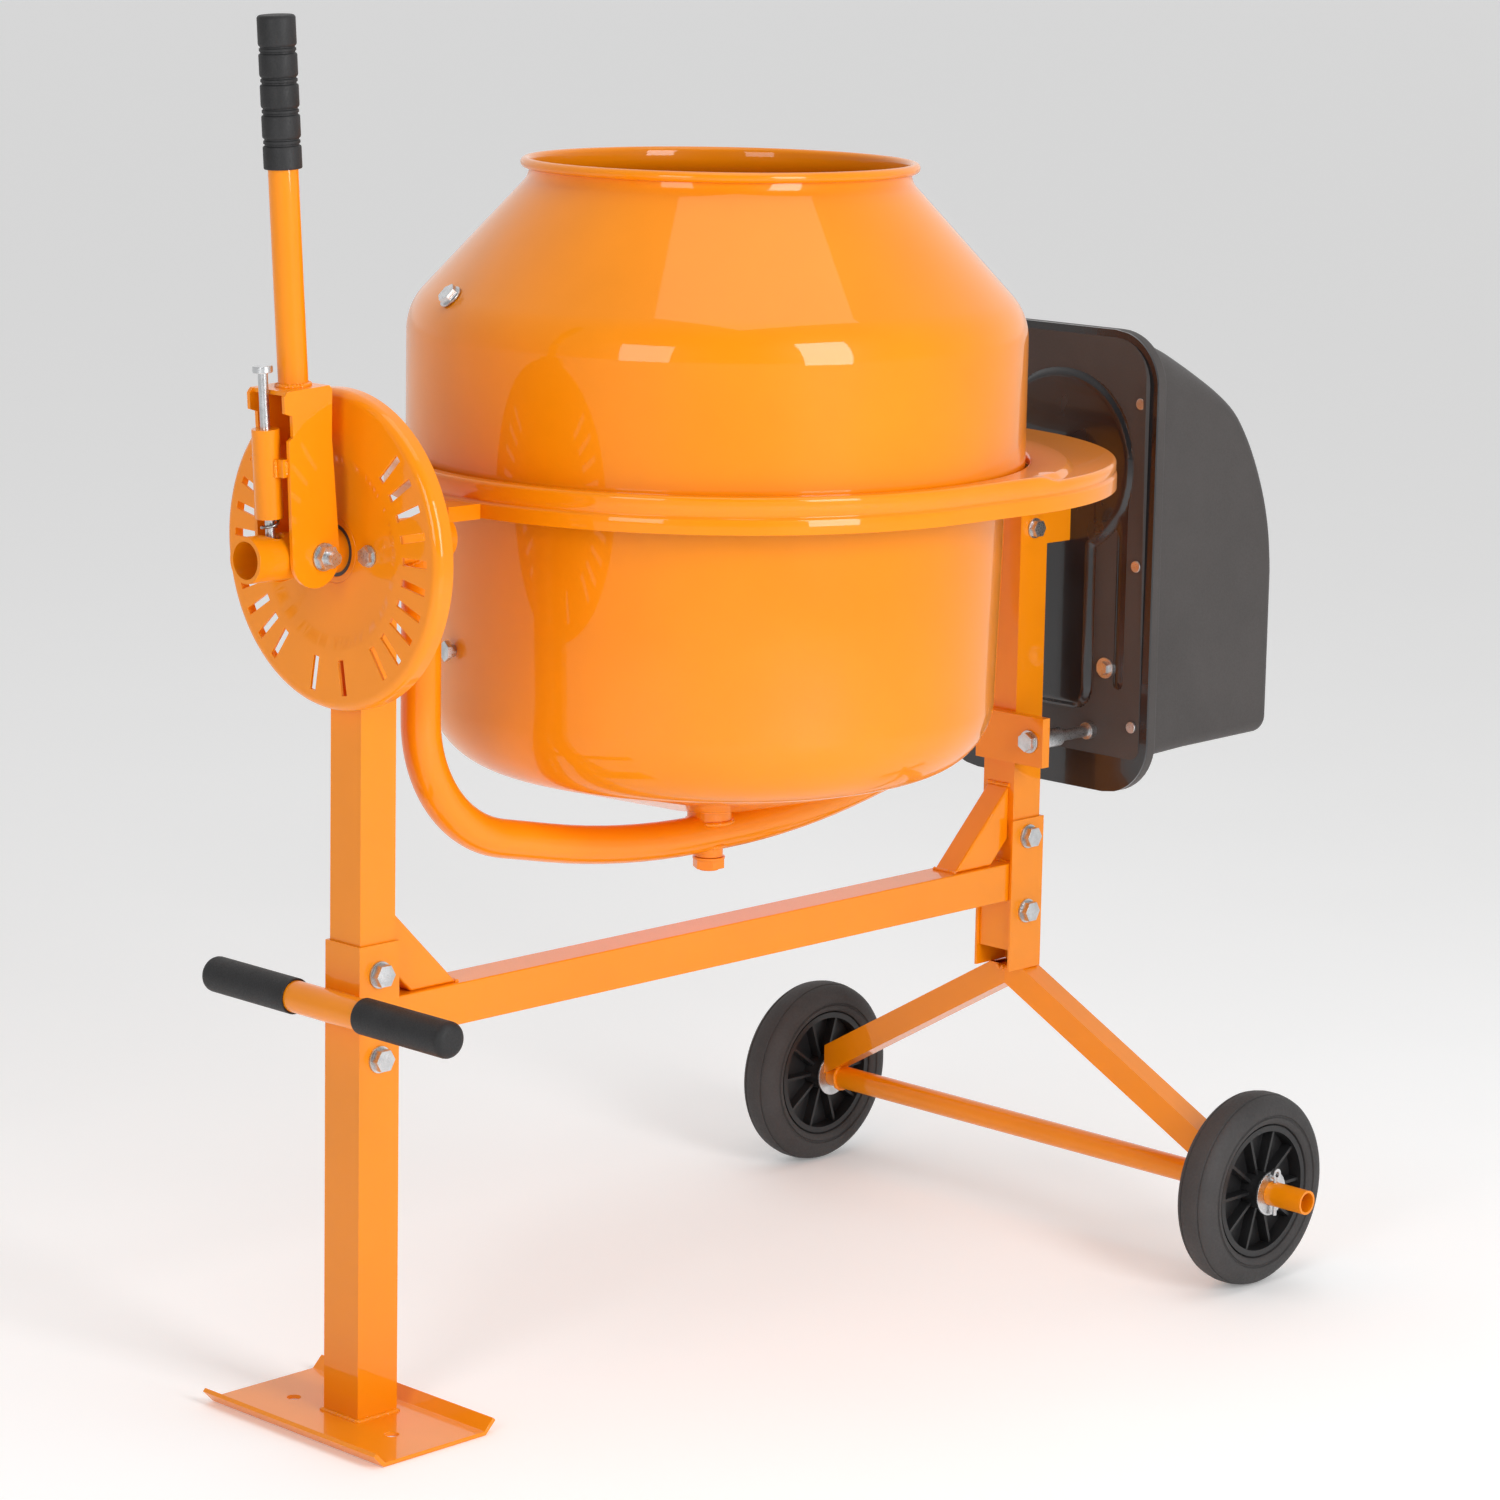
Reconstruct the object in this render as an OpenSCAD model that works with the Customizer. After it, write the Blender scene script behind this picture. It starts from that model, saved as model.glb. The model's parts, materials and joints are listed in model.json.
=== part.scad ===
// Electric tilting-drum concrete mixer, 140 litre class.
// Origin: on the ground, midway between the two anchor holes of the foot plate.
// +X runs along the tilt axis from the lock disc to the motor, +Z is up.

/* [Drum] */
// Largest outside diameter of the drum
drum_d = 600; // [560:5:620]
// Outside diameter of the drum below the ring gear
lower_d = 564; // [540:2:566]
// Outside diameter of the rolled mouth rim
mouth_d = 384; // [340:2:400]
// Height of the top of the mouth rim
mouth_z = 1150; // [1140:1:1160]
// Thickness of the drum plate
drum_wall = 2.5; // [2:0.1:3]

/* [Frame] */
// Height of the tilt axis above the ground
tilt_z = 817; // [812:1:822]
// Distance from each upright's middle to the drum axis
post_span = 448; // [446:1:450]
// Side of the square uprights
post_w = 42; // [40:1:42]
// Side of the square cross beam
beam_w = 40; // [36:1:40]
// Height of the top of the cross beam
beam_z = 399; // [396:1:402]

/* [Wheels] */
// Outside diameter of the tyres
wheel_d = 200; // [196:1:202]
// Width of the tyres
tyre_w = 44; // [40:1:46]
// Distance from the middle plane to the middle of each wheel
wheel_y = 308; // [306:1:312]
// Outside diameter of the axle tube
axle_d = 25; // [25:1:25]

/* [Lock disc and handle] */
// Diameter of the slotted lock disc
disc_d = 292; // [284:2:296]
// Angle between neighbouring lock slots
slot_step = 11; // [10:1:12]
// Outward lean of the handle
lean = 3.6; // [3:0.1:5]
// Length of the handle from its pivot to the top
handle_len = 478; // [460:1:490]

/* [Drive] */
// Pitch diameter of the large belt pulley
large_pulley_d = 200; // [190:2:204]
// Pitch diameter of the motor pulley
small_pulley_d = 50; // [46:2:54]
// Number of teeth on the ring gear
ring_teeth = 96; // [96:1:96]
// Number of teeth on the pinion
pinion_teeth = 8; // [8:1:8]

/* [Hidden] */
$fn = 64;

// Where things stand along the tilt axis, measured from the drum axis
anchor_back = 22;                      // anchor holes sit this far outside the leg
drum_x = post_span + anchor_back;      // drum axis from the part's origin
left_x = -post_span;
right_x = post_span + 4;
half_post = post_w / 2;
tube_t = 2.5;                          // wall of every steel tube
leg_w = post_w + 2 * tube_t + 1;       // the front leg slips over the upright
disc_x = -490;                         // front face of the lock disc
pivot_x = -518;                        // hinge bolt of the handle
plate_x = 518;                         // rear face of the motor back plate
plate_t = 2.5;
box_y0 = -126;                         // back plate from here ...
box_y1 = 164;                          // ... to here across the machine
box_z0 = 472;
box_z1 = 960;

// Tubes that turn about the tilt axis
pivot_r = 21;
bush_r = 24;
sleeve_r = 30;
fit = 0.05;                            // running clearance on the radius

// Drum heights
seam_z = 854.5;                        // joint between the two halves
neck_z = 1132;
neck_r = 184;
cone_a = 42.6;
shoulder_r = 60;
shoulder_z = 983;
lower_r = lower_d / 2;
foot_r = lower_r - 6;                  // lower half tapers to this
base_z = 522;                          // underside of the drum on its axis
base_a = 15;
base_r = 60;
corner_r = 70;
bolt_ring_r = 289;

// Ring gear and pinion
tooth_m = 6.25;
pitch_z = tilt_z + pinion_teeth * tooth_m / 2;
tooth_h = 4;                           // addendum
ring_top = seam_z - drum_wall;
ring_in = 283;
ring_out = 313;
tooth_in = 294;

// Guard around the ring gear
guard_r = 320;
guard_shift = 106;                     // the guard stretches towards the pinion
guard_top = 867;
guard_low = 832;
guard_t = 2;

// Yoke
yoke_r = 18.6;
yoke_x = 379;
yoke_z = 490;
yoke_bend = 130;
yoke_a = 78;                           // turn of the lower bends

// Wheels and their legs
wheel_r = wheel_d / 2;
axle_x = 485;
axle_z = wheel_r;
axle_r = axle_d / 2;
axle_half = 382;
hub_half = 25;
leg_end_y = wheel_y - hub_half - 4;
bracket_z0 = 283;
bracket_z1 = 445;

// Lift bar
bar_z = 397;
bar_r = 15;
bar_half = 152;

// Motor
motor_z = 600;
belt_x = 540;                          // middle plane of the belt drive
belt_w = 12;

// Handle, in its own frame: u outwards along X, s up from the hinge bolt
cheek_y = 21.8;
cheek_t = 4;
clevis_h = 152;
grip_len = 134;
tongue_s = 115;
spring_u = -38;

// ---- helpers -------------------------------------------------------------

// Everything is drawn about the drum axis and then set out from the origin.
module from_drum() { translate([drum_x, 0, 0]) children(); }

// Cylinders along X and Y, from a to b
module rod_x(r, a, b) { translate([a, 0, 0]) rotate([0, 90, 0]) cylinder(r = r, h = b - a); }
module rod_y(r, a, b) { translate([0, a, 0]) rotate([-90, 0, 0]) cylinder(r = r, h = b - a); }
module rod_z(r, a, b) { translate([0, 0, a]) cylinder(r = r, h = b - a); }

// A box given by its lowest and highest corners
module block(low, high) { translate(low) cube(high - low); }

// A square tube standing on z0
module post(w, z0, z1, wall = tube_t) {
    difference() {
        block([-w / 2, -w / 2, z0], [w / 2, w / 2, z1]);
        block([-w / 2 + wall, -w / 2 + wall, z0 - 1], [w / 2 - wall, w / 2 - wall, z1 + 1]);
    }
}

// A ring or a drilled disc along X
module ring_x(r_out, r_in, a, b) {
    difference() {
        rod_x(r_out, a, b);
        rod_x(r_in, a - 1, b + 1);
    }
}

module ring_y(r_out, r_in, a, b) {
    difference() {
        rod_y(r_out, a, b);
        rod_y(r_in, a - 1, b + 1);
    }
}

module ring_z(r_out, r_in, a, b) {
    difference() {
        rod_z(r_out, a, b);
        rod_z(r_in, a - 1, b + 1);
    }
}

// A hexagon bolt along Y: the head outside low_y, washers, nut outside high_y
module bolt_y(r, low_y, high_y) {
    head = r * 1.3;
    rod_y(r, low_y - 2, high_y + 2);
    for (side = [[low_y, -1], [high_y, 1]]) {
        y = side[0];
        d = side[1];
        washer = [min(y, y + 2 * d), max(y, y + 2 * d)];
        nut = [min(y + 2 * d, y + (2 + head) * d), max(y + 2 * d, y + (2 + head) * d)];
        rod_y(r * 2.1, washer[0], washer[1]);
        translate([0, nut[0], 0]) rotate([-90, 0, 0])
            cylinder(r = r * 1.85, h = nut[1] - nut[0], $fn = 6);
    }
}

// Points on an arc
function arc(x, z, r, a0, a1, n = 12) =
    [for (i = [0:n]) [x + r * cos(a0 + (a1 - a0) * i / n), z + r * sin(a0 + (a1 - a0) * i / n)]];
function backwards(list) = [for (i = [len(list) - 1:-1:0]) list[i]];

// ---- frame ---------------------------------------------------------------

foot_l = 148;
foot_w = 244;
foot_t = 4;
foot_lip = 12;
anchor_y = 69.5;
anchor_r = 6.5;

// Sledge plate: its two long edges are turned up
module foot_plate() color("orange") {
    mid = 7;
    profile = concat(
        [[foot_l / 2 - foot_lip, 0]],
        [[foot_l / 2, foot_lip], [foot_l / 2 - 3, foot_lip + 3], [foot_l / 2 - foot_lip - 2, foot_t]],
        [[-foot_l / 2 + foot_lip + 2, foot_t], [-foot_l / 2 + 3, foot_lip + 3], [-foot_l / 2, foot_lip]],
        [[-foot_l / 2 + foot_lip, 0]]);
    difference() {
        translate([mid, foot_w / 2, 0]) rotate([90, 0, 0]) linear_extrude(foot_w) polygon(profile);
        for (side = [-1, 1]) translate([0, side * anchor_y, 0]) rod_z(anchor_r, -1, foot_t + 1);
    }
}

leg_top = 453;
leg_notch_z = beam_z - beam_w;

module front_leg() color("orange") from_drum() translate([left_x, 0, 0]) {
    difference() {
        post(leg_w, foot_t, leg_top);
        block([half_post, -beam_w / 2 - 0.3, leg_notch_z - 0.3], [leg_w, beam_w / 2 + 0.3, leg_top + 1]);
        for (z = leg_bolt_z) translate([0, 0, z]) rod_y(bolt_r + 0.3, -leg_w, leg_w);
    }
}

bolt_r = 6;
leg_bolt_z = [345, 424.5];
bracket_bolt_z = [346, 426];
upright_z0 = 305;
motor_bolt_z = 753;

module left_upright() color("orange") from_drum() difference() {
    translate([left_x, 0, 0]) post(post_w, upright_z0, tilt_z);
    translate([left_x, 0, tilt_z]) rod_x(sleeve_r, -post_w, post_w);
    for (z = leg_bolt_z) translate([left_x, 0, z]) rod_y(bolt_r + 0.2, -post_w, post_w);
}

module right_upright() color("orange") from_drum() difference() {
    translate([right_x, 0, 0]) post(post_w, upright_z0, tilt_z);
    translate([right_x, 0, tilt_z]) rod_x(sleeve_r, -post_w, post_w);
    for (z = concat(bracket_bolt_z, [motor_bolt_z]))
        translate([right_x, 0, z]) rod_y(bolt_r + 0.2, -post_w, post_w);
}

module cross_beam() color("orange") from_drum() difference() {
    block([left_x + half_post, -beam_w / 2, beam_z - beam_w], [right_x - half_post, beam_w / 2, beam_z]);
    block([left_x, -beam_w / 2 + tube_t, beam_z - beam_w + tube_t],
        [right_x, beam_w / 2 - tube_t, beam_z - tube_t]);
}

brace_w = 30;
brace_gap = 26;
brace_leg = 82;

// Diagonal struts between the beam and each upright
module beam_braces() color("orange") from_drum() for (side = [-1, 1]) {
    corner_x = side < 0 ? left_x + half_post : right_x - half_post;
    translate([corner_x, brace_w / 2, beam_z]) rotate([90, 0, 0]) linear_extrude(brace_w)
        polygon([[0, brace_gap], [0, brace_leg], [-side * brace_leg, 0], [-side * brace_gap, 0]]);
}

sleeve_x = [disc_x + 6, left_x + half_post + 3];
right_sleeve_x = [right_x - half_post - 1, right_x + half_post + 6];

module bearing_sleeves() color("orange") from_drum() translate([0, 0, tilt_z]) {
    ring_x(sleeve_r, bush_r, sleeve_x[0], sleeve_x[1]);
    ring_x(sleeve_r, bush_r, right_sleeve_x[0], right_sleeve_x[1]);
}

module pivot_bushes() color("dimgray") from_drum() translate([0, 0, tilt_z]) {
    ring_x(bush_r, pivot_r + fit, sleeve_x[0], sleeve_x[1]);
    ring_x(bush_r, pivot_r + fit, right_sleeve_x[0], right_sleeve_x[1]);
}

disc_r = disc_d / 2;
disc_t = 3;
disc_dish_r = 84;
disc_dish = 6;
rim_depth = 19;
slot_in = 0.68 * disc_r;
slot_out = 0.9 * disc_r;
slot_w = 7;
first_slot = 45;
last_slot = first_slot + 9 * slot_step;
disc_bolt_y = 48;

module radial_slot(a) {
    rotate([a, 0, 0]) block([-5, -slot_w / 2, slot_in], [disc_dish + 5, slot_w / 2, slot_out]);
}

// Slotted plate with a dished middle and a rim folded back
module lock_disc() color("orange") from_drum() translate([disc_x, 0, tilt_z]) difference() {
    rotate([0, 90, 0]) rotate_extrude($fn = 96) polygon(concat(
        [[sleeve_r, disc_dish], [disc_dish_r - 7, disc_dish], [disc_dish_r + 7, 0]],
        arc(disc_r - 9, 9, 9, -90, 0, 6),
        [[disc_r, rim_depth], [disc_r - disc_t, rim_depth]],
        backwards(arc(disc_r - 9, 9, 9 - disc_t, -90, 0, 6)),
        [[disc_dish_r + 8, disc_t], [disc_dish_r - 6, disc_dish + disc_t], [sleeve_r, disc_dish + disc_t]]));
    radial_slot(0);
    for (side = [-1, 1], a = [first_slot:slot_step:last_slot]) radial_slot(side * a);
    for (a = [170.4, 189.6]) radial_slot(a);
    for (side = [-1, 1]) translate([0, side * disc_bolt_y, 0]) rod_x(bolt_r + 0.2, -5, disc_dish + 10);
}

module hex_bolt_x(r, a, b) {
    rod_x(r, a, b);
    rod_x(r * 2, a - 2, a);
    translate([a - 2 - r, 0, 0]) rotate([0, 90, 0]) cylinder(r = r * 1.7, h = r, $fn = 6);
}

// Screw through the back plate into a foot of the motor
module motor_foot_bolt() {
    rod_x(4, plate_x - 2, plate_x + plate_t + 17);
    rod_x(11, plate_x - 2, plate_x);
    translate([plate_x - 7, 0, 0]) rotate([0, 90, 0]) cylinder(r = 7.5, h = 5, $fn = 6);
}

module frame_bolts() color("silver") from_drum() {
    for (z = leg_bolt_z) translate([left_x, 0, z]) bolt_y(bolt_r, -leg_w / 2, leg_w / 2);
    for (z = bracket_bolt_z) translate([right_x, 0, z]) bolt_y(bolt_r, -half_post - 3.5, half_post + 3.5);
    translate([right_x, 0, motor_bolt_z]) bolt_y(bolt_r - 1, -half_post, half_post);
    for (side = [-1, 1]) translate([0, side * disc_bolt_y, tilt_z])
        hex_bolt_x(bolt_r - 1, disc_x + disc_dish, disc_x + disc_dish + disc_t + 6);
    for (side = [-1, 1]) translate([0, side * motor_foot_y, motor_z + 4]) motor_foot_bolt();
}

// Bar across the front leg for lifting and wheeling the machine
bar_x = left_x - leg_w / 2 - bar_r;

module lift_bar() color("orange") from_drum() translate([bar_x, 0, bar_z])
    ring_y(bar_r, bar_r - tube_t, -bar_half, bar_half);

grip_in = 48;
grip_out = 168;

module lift_grips() color("black") from_drum() translate([bar_x, 0, bar_z]) for (side = [0, 1])
    mirror([0, side, 0]) rotate([-90, 0, 0]) rotate_extrude() polygon(concat(
        [[bar_r, grip_in], [bar_r + 2, grip_in], [bar_r + 2, grip_out - 8]],
        arc(bar_r - 6, grip_out - 8, 8, 0, 90, 6),
        [[0, grip_out], [0, bar_half], [bar_r, bar_half]]));

// ---- wheels --------------------------------------------------------------

// Channel that slips over the foot of the right upright, open towards the beam
module wheel_bracket() color("orange") from_drum() translate([right_x, 0, 0]) difference() {
    outer = half_post + 3.5;
    inner = half_post + 0.5;
    block([-outer, -outer, bracket_z0], [outer, outer, bracket_z1]);
    block([-outer - 1, -inner, bracket_z0 - 1], [inner, inner, bracket_z1 + 1]);
    for (z = bracket_bolt_z) translate([0, 0, z]) rod_y(bolt_r + 0.2, -2 * post_w, 2 * post_w);
}

leg_tube = 28;
leg_top_x = 463;

// One leg of the axle frame, from under the bracket down to the axle
module wheel_leg() {
    run = [axle_x - leg_top_x, leg_end_y + 20, axle_z + 8 - (bracket_z0 - 4)];
    length = norm(run);
    pitch = acos(run[2] / length);
    yaw = atan2(run[1], run[0]);
    difference() {
        translate([leg_top_x, 0, bracket_z0 - 4]) rotate([0, 0, yaw]) rotate([0, pitch, 0])
            difference() {
                block([-leg_tube / 2, -leg_tube / 2, -40], [leg_tube / 2, leg_tube / 2, length + 10]);
                block([-leg_tube / 2 + 2, -leg_tube / 2 + 2, -50],
                    [leg_tube / 2 - 2, leg_tube / 2 - 2, length + 20]);
            }
        block([300, -100, bracket_z0], [700, 300, 500]);
        block([300, -100, 0], [700, 0, 500]);
        block([300, leg_end_y, 0], [700, 400, 300]);
        translate([axle_x, 0, axle_z]) rod_y(axle_r, 0, 400);
    }
}

module near_wheel_leg() color("orange") from_drum() mirror([0, 1, 0]) wheel_leg();
module far_wheel_leg() color("orange") from_drum() wheel_leg();

pin_r = 2.2;
pin_y = wheel_y + hub_half + 8;

module at_axle() { translate([axle_x, 0, axle_z]) children(); }

module axle_tube() color("orange") from_drum() at_axle() difference() {
    ring_y(axle_r, axle_r - tube_t, -axle_half, axle_half);
    for (side = [-1, 1]) translate([0, side * pin_y, 0]) rod_z(pin_r + 0.2, -20, 20);
}

washer_r = 23;

module axle_washers() color("silver") from_drum() at_axle() for (side = [0, 1]) mirror([0, side, 0]) {
    ring_y(washer_r, axle_r + fit, leg_end_y, leg_end_y + 2.5);
    ring_y(washer_r, axle_r + fit, wheel_y + hub_half + 1, wheel_y + hub_half + 3.5);
}

// Split pins with an eye on top and two spread legs below
module cotter_pins() color("silver") from_drum() at_axle() for (side = [-1, 1])
    translate([0, side * pin_y, 0]) {
        rod_z(pin_r, -22, 17);
        difference() {
            translate([0, 0, 21]) rod_y(6, -2, 2);
            translate([0, 0, 21]) rod_y(3, -3, 3);
            block([-8, -5, 10], [8, 5, 17]);
        }
    }

tyre_in = 68;

// Solid rubber tyre with a groove on each shoulder
module tyre() {
    half = tyre_w / 2;
    groove = wheel_r - 22;
    rotate([-90, 0, 0]) rotate_extrude($fn = 96) polygon(concat(
        [[tyre_in, -half + 7], [tyre_in + 3, -half + 2], [groove - 1.5, -half]],
        [[groove, -half + 2], [groove + 1.5, -half]],
        arc(wheel_r - 18, -half + 16, 16, -80, -12, 6),
        arc(wheel_r - 40, 0, 40, -8, 8, 4),
        arc(wheel_r - 18, half - 16, 16, 12, 80, 6),
        [[groove + 1.5, half], [groove, half - 2], [groove - 1.5, half]],
        [[tyre_in + 3, half - 2], [tyre_in, half - 7]]));
}

hub_core = 19;
web_t = 5;
spokes = 10;

// Moulded hub: rim, recessed web, ribs and a long bore
module hub() {
    half = tyre_w / 2 - 4;
    difference() {
        union() {
            ring_y(tyre_in, tyre_in - 6, -half, half);
            rod_y(tyre_in - 5, -web_t / 2, web_t / 2);
            rod_y(hub_core, -hub_half, hub_half);
            for (i = [0:spokes - 1]) rotate([0, i * 360 / spokes, 0])
                block([hub_core - 2, -half + 4, -1.6], [tyre_in - 5, half - 4, 1.6]);
        }
        rod_y(axle_r + fit, -hub_half - 1, hub_half + 1);
    }
}

module near_tyre() color("dimgray") from_drum() at_axle() translate([0, -wheel_y, 0]) tyre();
module far_tyre() color("dimgray") from_drum() at_axle() translate([0, wheel_y, 0]) tyre();
module near_hub() color("black") from_drum() at_axle() translate([0, -wheel_y, 0]) hub();
module far_hub() color("black") from_drum() at_axle() translate([0, wheel_y, 0]) hub();

// ---- motor box -----------------------------------------------------------

stay_z = 535;
stay_y = -50;
stay_plate = [11, 92, 52];
stay_face = right_x - half_post;

module stay_bracket() color("orange") from_drum() difference() {
    block([stay_face - stay_plate[0], stay_y - 18, stay_z - stay_plate[2] / 2],
        [stay_face, stay_y - 18 + stay_plate[1], stay_z + stay_plate[2] / 2]);
    translate([0, stay_y, stay_z]) rod_x(bolt_r + 0.2, 0, 2 * plate_x);
}

module stay_bolt() color("silver") from_drum() translate([0, stay_y, stay_z]) {
    hex_bolt_x(bolt_r, stay_face - stay_plate[0], plate_x + plate_t + 6);
    ring_x(bolt_r + 4, bolt_r, stay_face, stay_face + 34);
    ring_x(bolt_r + 3, bolt_r, plate_x - 8, plate_x);
}

module motor_bracket() color("orange") from_drum() difference() {
    block([right_x + half_post, -19, motor_bolt_z - 19], [plate_x, 19, motor_bolt_z + 19]);
    block([right_x, -16, motor_bolt_z - 16], [plate_x + 1, 16, motor_bolt_z + 16]);
}

plate_round = 58;
box_mid_y = (box_y0 + box_y1) / 2;
screw_spots = [
    for (y = [box_y0 + 20, box_y1 - 20], z = [box_z0 + 74, (box_z0 + box_z1) / 2, box_z1 - 74]) [y, z]
];

// Rounded rectangle in the YZ plane, extruded along X
module rounded_plate(inset, x0, x1) {
    r = plate_round - inset;
    translate([x0, 0, 0]) rotate([90, 0, 90]) linear_extrude(x1 - x0) {
        translate([box_y0 + inset, box_z0 + plate_round])
            square([box_y1 - box_y0 - 2 * inset, box_z1 - box_z0 - 2 * plate_round]);
        translate([box_y0 + plate_round, box_z0 + inset])
            square([box_y1 - box_y0 - 2 * plate_round, box_z1 - box_z0 - 2 * inset]);
        for (y = [box_y0 + plate_round, box_y1 - plate_round], z = [box_z0 + plate_round, box_z1 - plate_round])
            translate([y, z]) circle(r);
    }
}

boss_r = 96;

// Pressed steel plate with a raised round around the shaft and raised ribs
module motor_back_plate() color([0.08, 0.08, 0.09]) from_drum() difference() {
    union() {
        rounded_plate(0, plate_x, plate_x + plate_t);
        translate([0, 0, tilt_z]) ring_x(boss_r, boss_r - 5, plate_x - 3, plate_x + 1);
        for (y = [-44, 44]) block([plate_x - 3, y - 4, motor_z - 45], [plate_x + 1, y + 4, motor_z + 70]);
    }
    translate([0, 0, tilt_z]) rod_x(pivot_r + 1, plate_x - 10, plate_x + 10);
    translate([0, stay_y, stay_z]) rod_x(bolt_r + 0.2, plate_x - 10, plate_x + 10);
    for (spot = screw_spots) translate([0, spot[0], spot[1]]) rod_x(2.7, plate_x - 10, plate_x + 10);
    for (side = [-1, 1])
        translate([0, side * motor_foot_y, motor_z + 4]) rod_x(4.1, plate_x - 10, plate_x + 10);
}

cover_end = 738;
cover_wall = 3;
flange_t = 14;
cover_in = 10;                         // the body stands this far inside the rim
cover_round = 15;

// Side view of the cover's body from its top corner round to its lower corner: x and z
cover_line = concat(
    [[plate_x, 952], [545, 947.5], [570, 939], [596, 926], [620, 911], [645, 892], [668, 869],
        [690, 840], [708, 808], [723, 772], [733, 735], [cover_end, 695]],
    arc(cover_end - cover_round - 3, 534, cover_round, 0, -85, 6), [[plate_x, 511]]);

// The same line moved inwards by d
function moved_in(line, d) = [for (i = [0:len(line) - 1])
    let (a = line[max(i - 1, 0)], b = line[min(i + 1, len(line) - 1)], t = (b - a) / norm(b - a))
    [line[i][0] + d * t[1], line[i][1] - d * t[0]]];

module cover_body(d) {
    intersection() {
        rounded_plate(cover_in + d, plate_x - 10 + 10 * sign(cover_wall - d), cover_end + 1);
        translate([0, box_y1, 0]) rotate([90, 0, 0]) linear_extrude(box_y1 - box_y0)
            polygon(concat([[plate_x - 10, 952 - d]], moved_in(cover_line, d), [[plate_x - 10, 511 + d]]));
    }
}

// Moulded cover with a rim and screw bosses that meet the back plate
module motor_cover() color("dimgray") from_drum() difference() {
    face = plate_x + plate_t;
    union() {
        difference() {
            union() {
                intersection() {
                    cover_body(0);
                    block([face, box_y0, box_z0], [cover_end + 10, box_y1, box_z1]);
                }
                rounded_plate(0, face, face + flange_t);
            }
            cover_body(cover_wall);
        }
        for (spot = screw_spots) translate([0, spot[0], spot[1]]) rod_x(8, face, face + flange_t + 6);
    }
    for (spot = screw_spots) translate([0, spot[0], spot[1]]) rod_x(2.7, face - 1, face + 26);
    translate([0, switch_y, switch_z]) rod_x(14, cover_end - 20, cover_end + 5);
    translate([0, gland_y, gland_z]) rod_x(gland_r + 0.2, cover_end - 20, cover_end + 5);
}

module cover_screws() color("silver") from_drum() for (spot = screw_spots)
    translate([0, spot[0], spot[1]]) {
        rod_x(2.5, plate_x - 2, plate_x + plate_t + flange_t);
        rod_x(6, plate_x - 3, plate_x);
    }

motor_r = 62;
motor_x0 = 562;
motor_x1 = 672;
motor_foot_y = 68;

// Closed motor: ribbed body, end shields and two feet on the back plate
module motor() color("gray") from_drum() translate([0, 0, motor_z]) difference() {
    union() {
        rod_x(motor_r - 4, motor_x0, motor_x1);
        rod_x(motor_r, motor_x0, motor_x0 + 8);
        rod_x(motor_r, motor_x1 - 8, motor_x1);
        for (i = [0:15]) rotate([i * 22.5, 0, 0])
            block([motor_x0, -1.5, 0], [motor_x1, 1.5, motor_r - 1]);
        for (side = [-1, 1])
            block([plate_x + plate_t, side * 64 - 11, -14], [motor_x0 + 20, side * 64 + 11, 14]);
    }
    rod_x(9 + fit, motor_x0 - 60, motor_x1 - 20);
    for (side = [-1, 1]) translate([0, side * motor_foot_y, 4]) rod_x(4.1, plate_x, plate_x + plate_t + 18);
}

module motor_shaft() color("silver") from_drum() translate([0, 0, motor_z])
    rod_x(9, belt_x - 12, motor_x1 - 22);

// Belt pulley with a flat-bottomed groove
module pulley(r, bore) {
    half = belt_w / 2 + 5;
    difference() {
        rotate([0, 90, 0]) rotate_extrude($fn = 96) polygon([
            [bore, -half], [r + 4, -half], [r + 4, -half + 1.5], [r - 5, -belt_w / 2 + 1.5],
            [r - 5, belt_w / 2 - 1.5], [r + 4, half - 1.5], [r + 4, half], [bore, half]]);
        if (r > 60) for (i = [0:5]) rotate([i * 60 + 30, 0, 0])
            translate([0, 0, r * 0.55]) rod_x(r * 0.18, -half - 1, half + 1);
    }
}

module motor_pulley() color("silver") from_drum() translate([belt_x, 0, motor_z])
    pulley(small_pulley_d / 2, 9);
module large_pulley() color("silver") from_drum() translate([belt_x, 0, tilt_z])
    pulley(large_pulley_d / 2, shaft_r);

belt_t = 7;

// Belt outline: two arcs joined by the outer tangents
function belt_outline(extra) =
    let (top = large_pulley_d / 2 + extra, low = small_pulley_d / 2 + extra,
        a = asin((large_pulley_d - small_pulley_d) / 2 / (tilt_z - motor_z)))
    concat(arc(0, tilt_z, top, -a, 180 + a, 24), arc(0, motor_z, low, 180 + a, 360 - a, 12));

module drive_belt() color("black") from_drum() translate([belt_x - 4, 0, 0])
    rotate([90, 0, 90]) linear_extrude(8) difference() {
        polygon(belt_outline(belt_t / 2 - 0.5));
        polygon(belt_outline(-belt_t / 2 - 0.5));
    }

shaft_r = 10;
pinion_x0 = tooth_in;
pinion_x1 = ring_out - 1;

module pinion_shaft() color("silver") from_drum() translate([0, 0, tilt_z]) {
    rod_x(shaft_r, pinion_x0 - 6, belt_x + 20);
    rod_x(shaft_r + 5, belt_x + 11, belt_x + 17);
}

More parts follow.
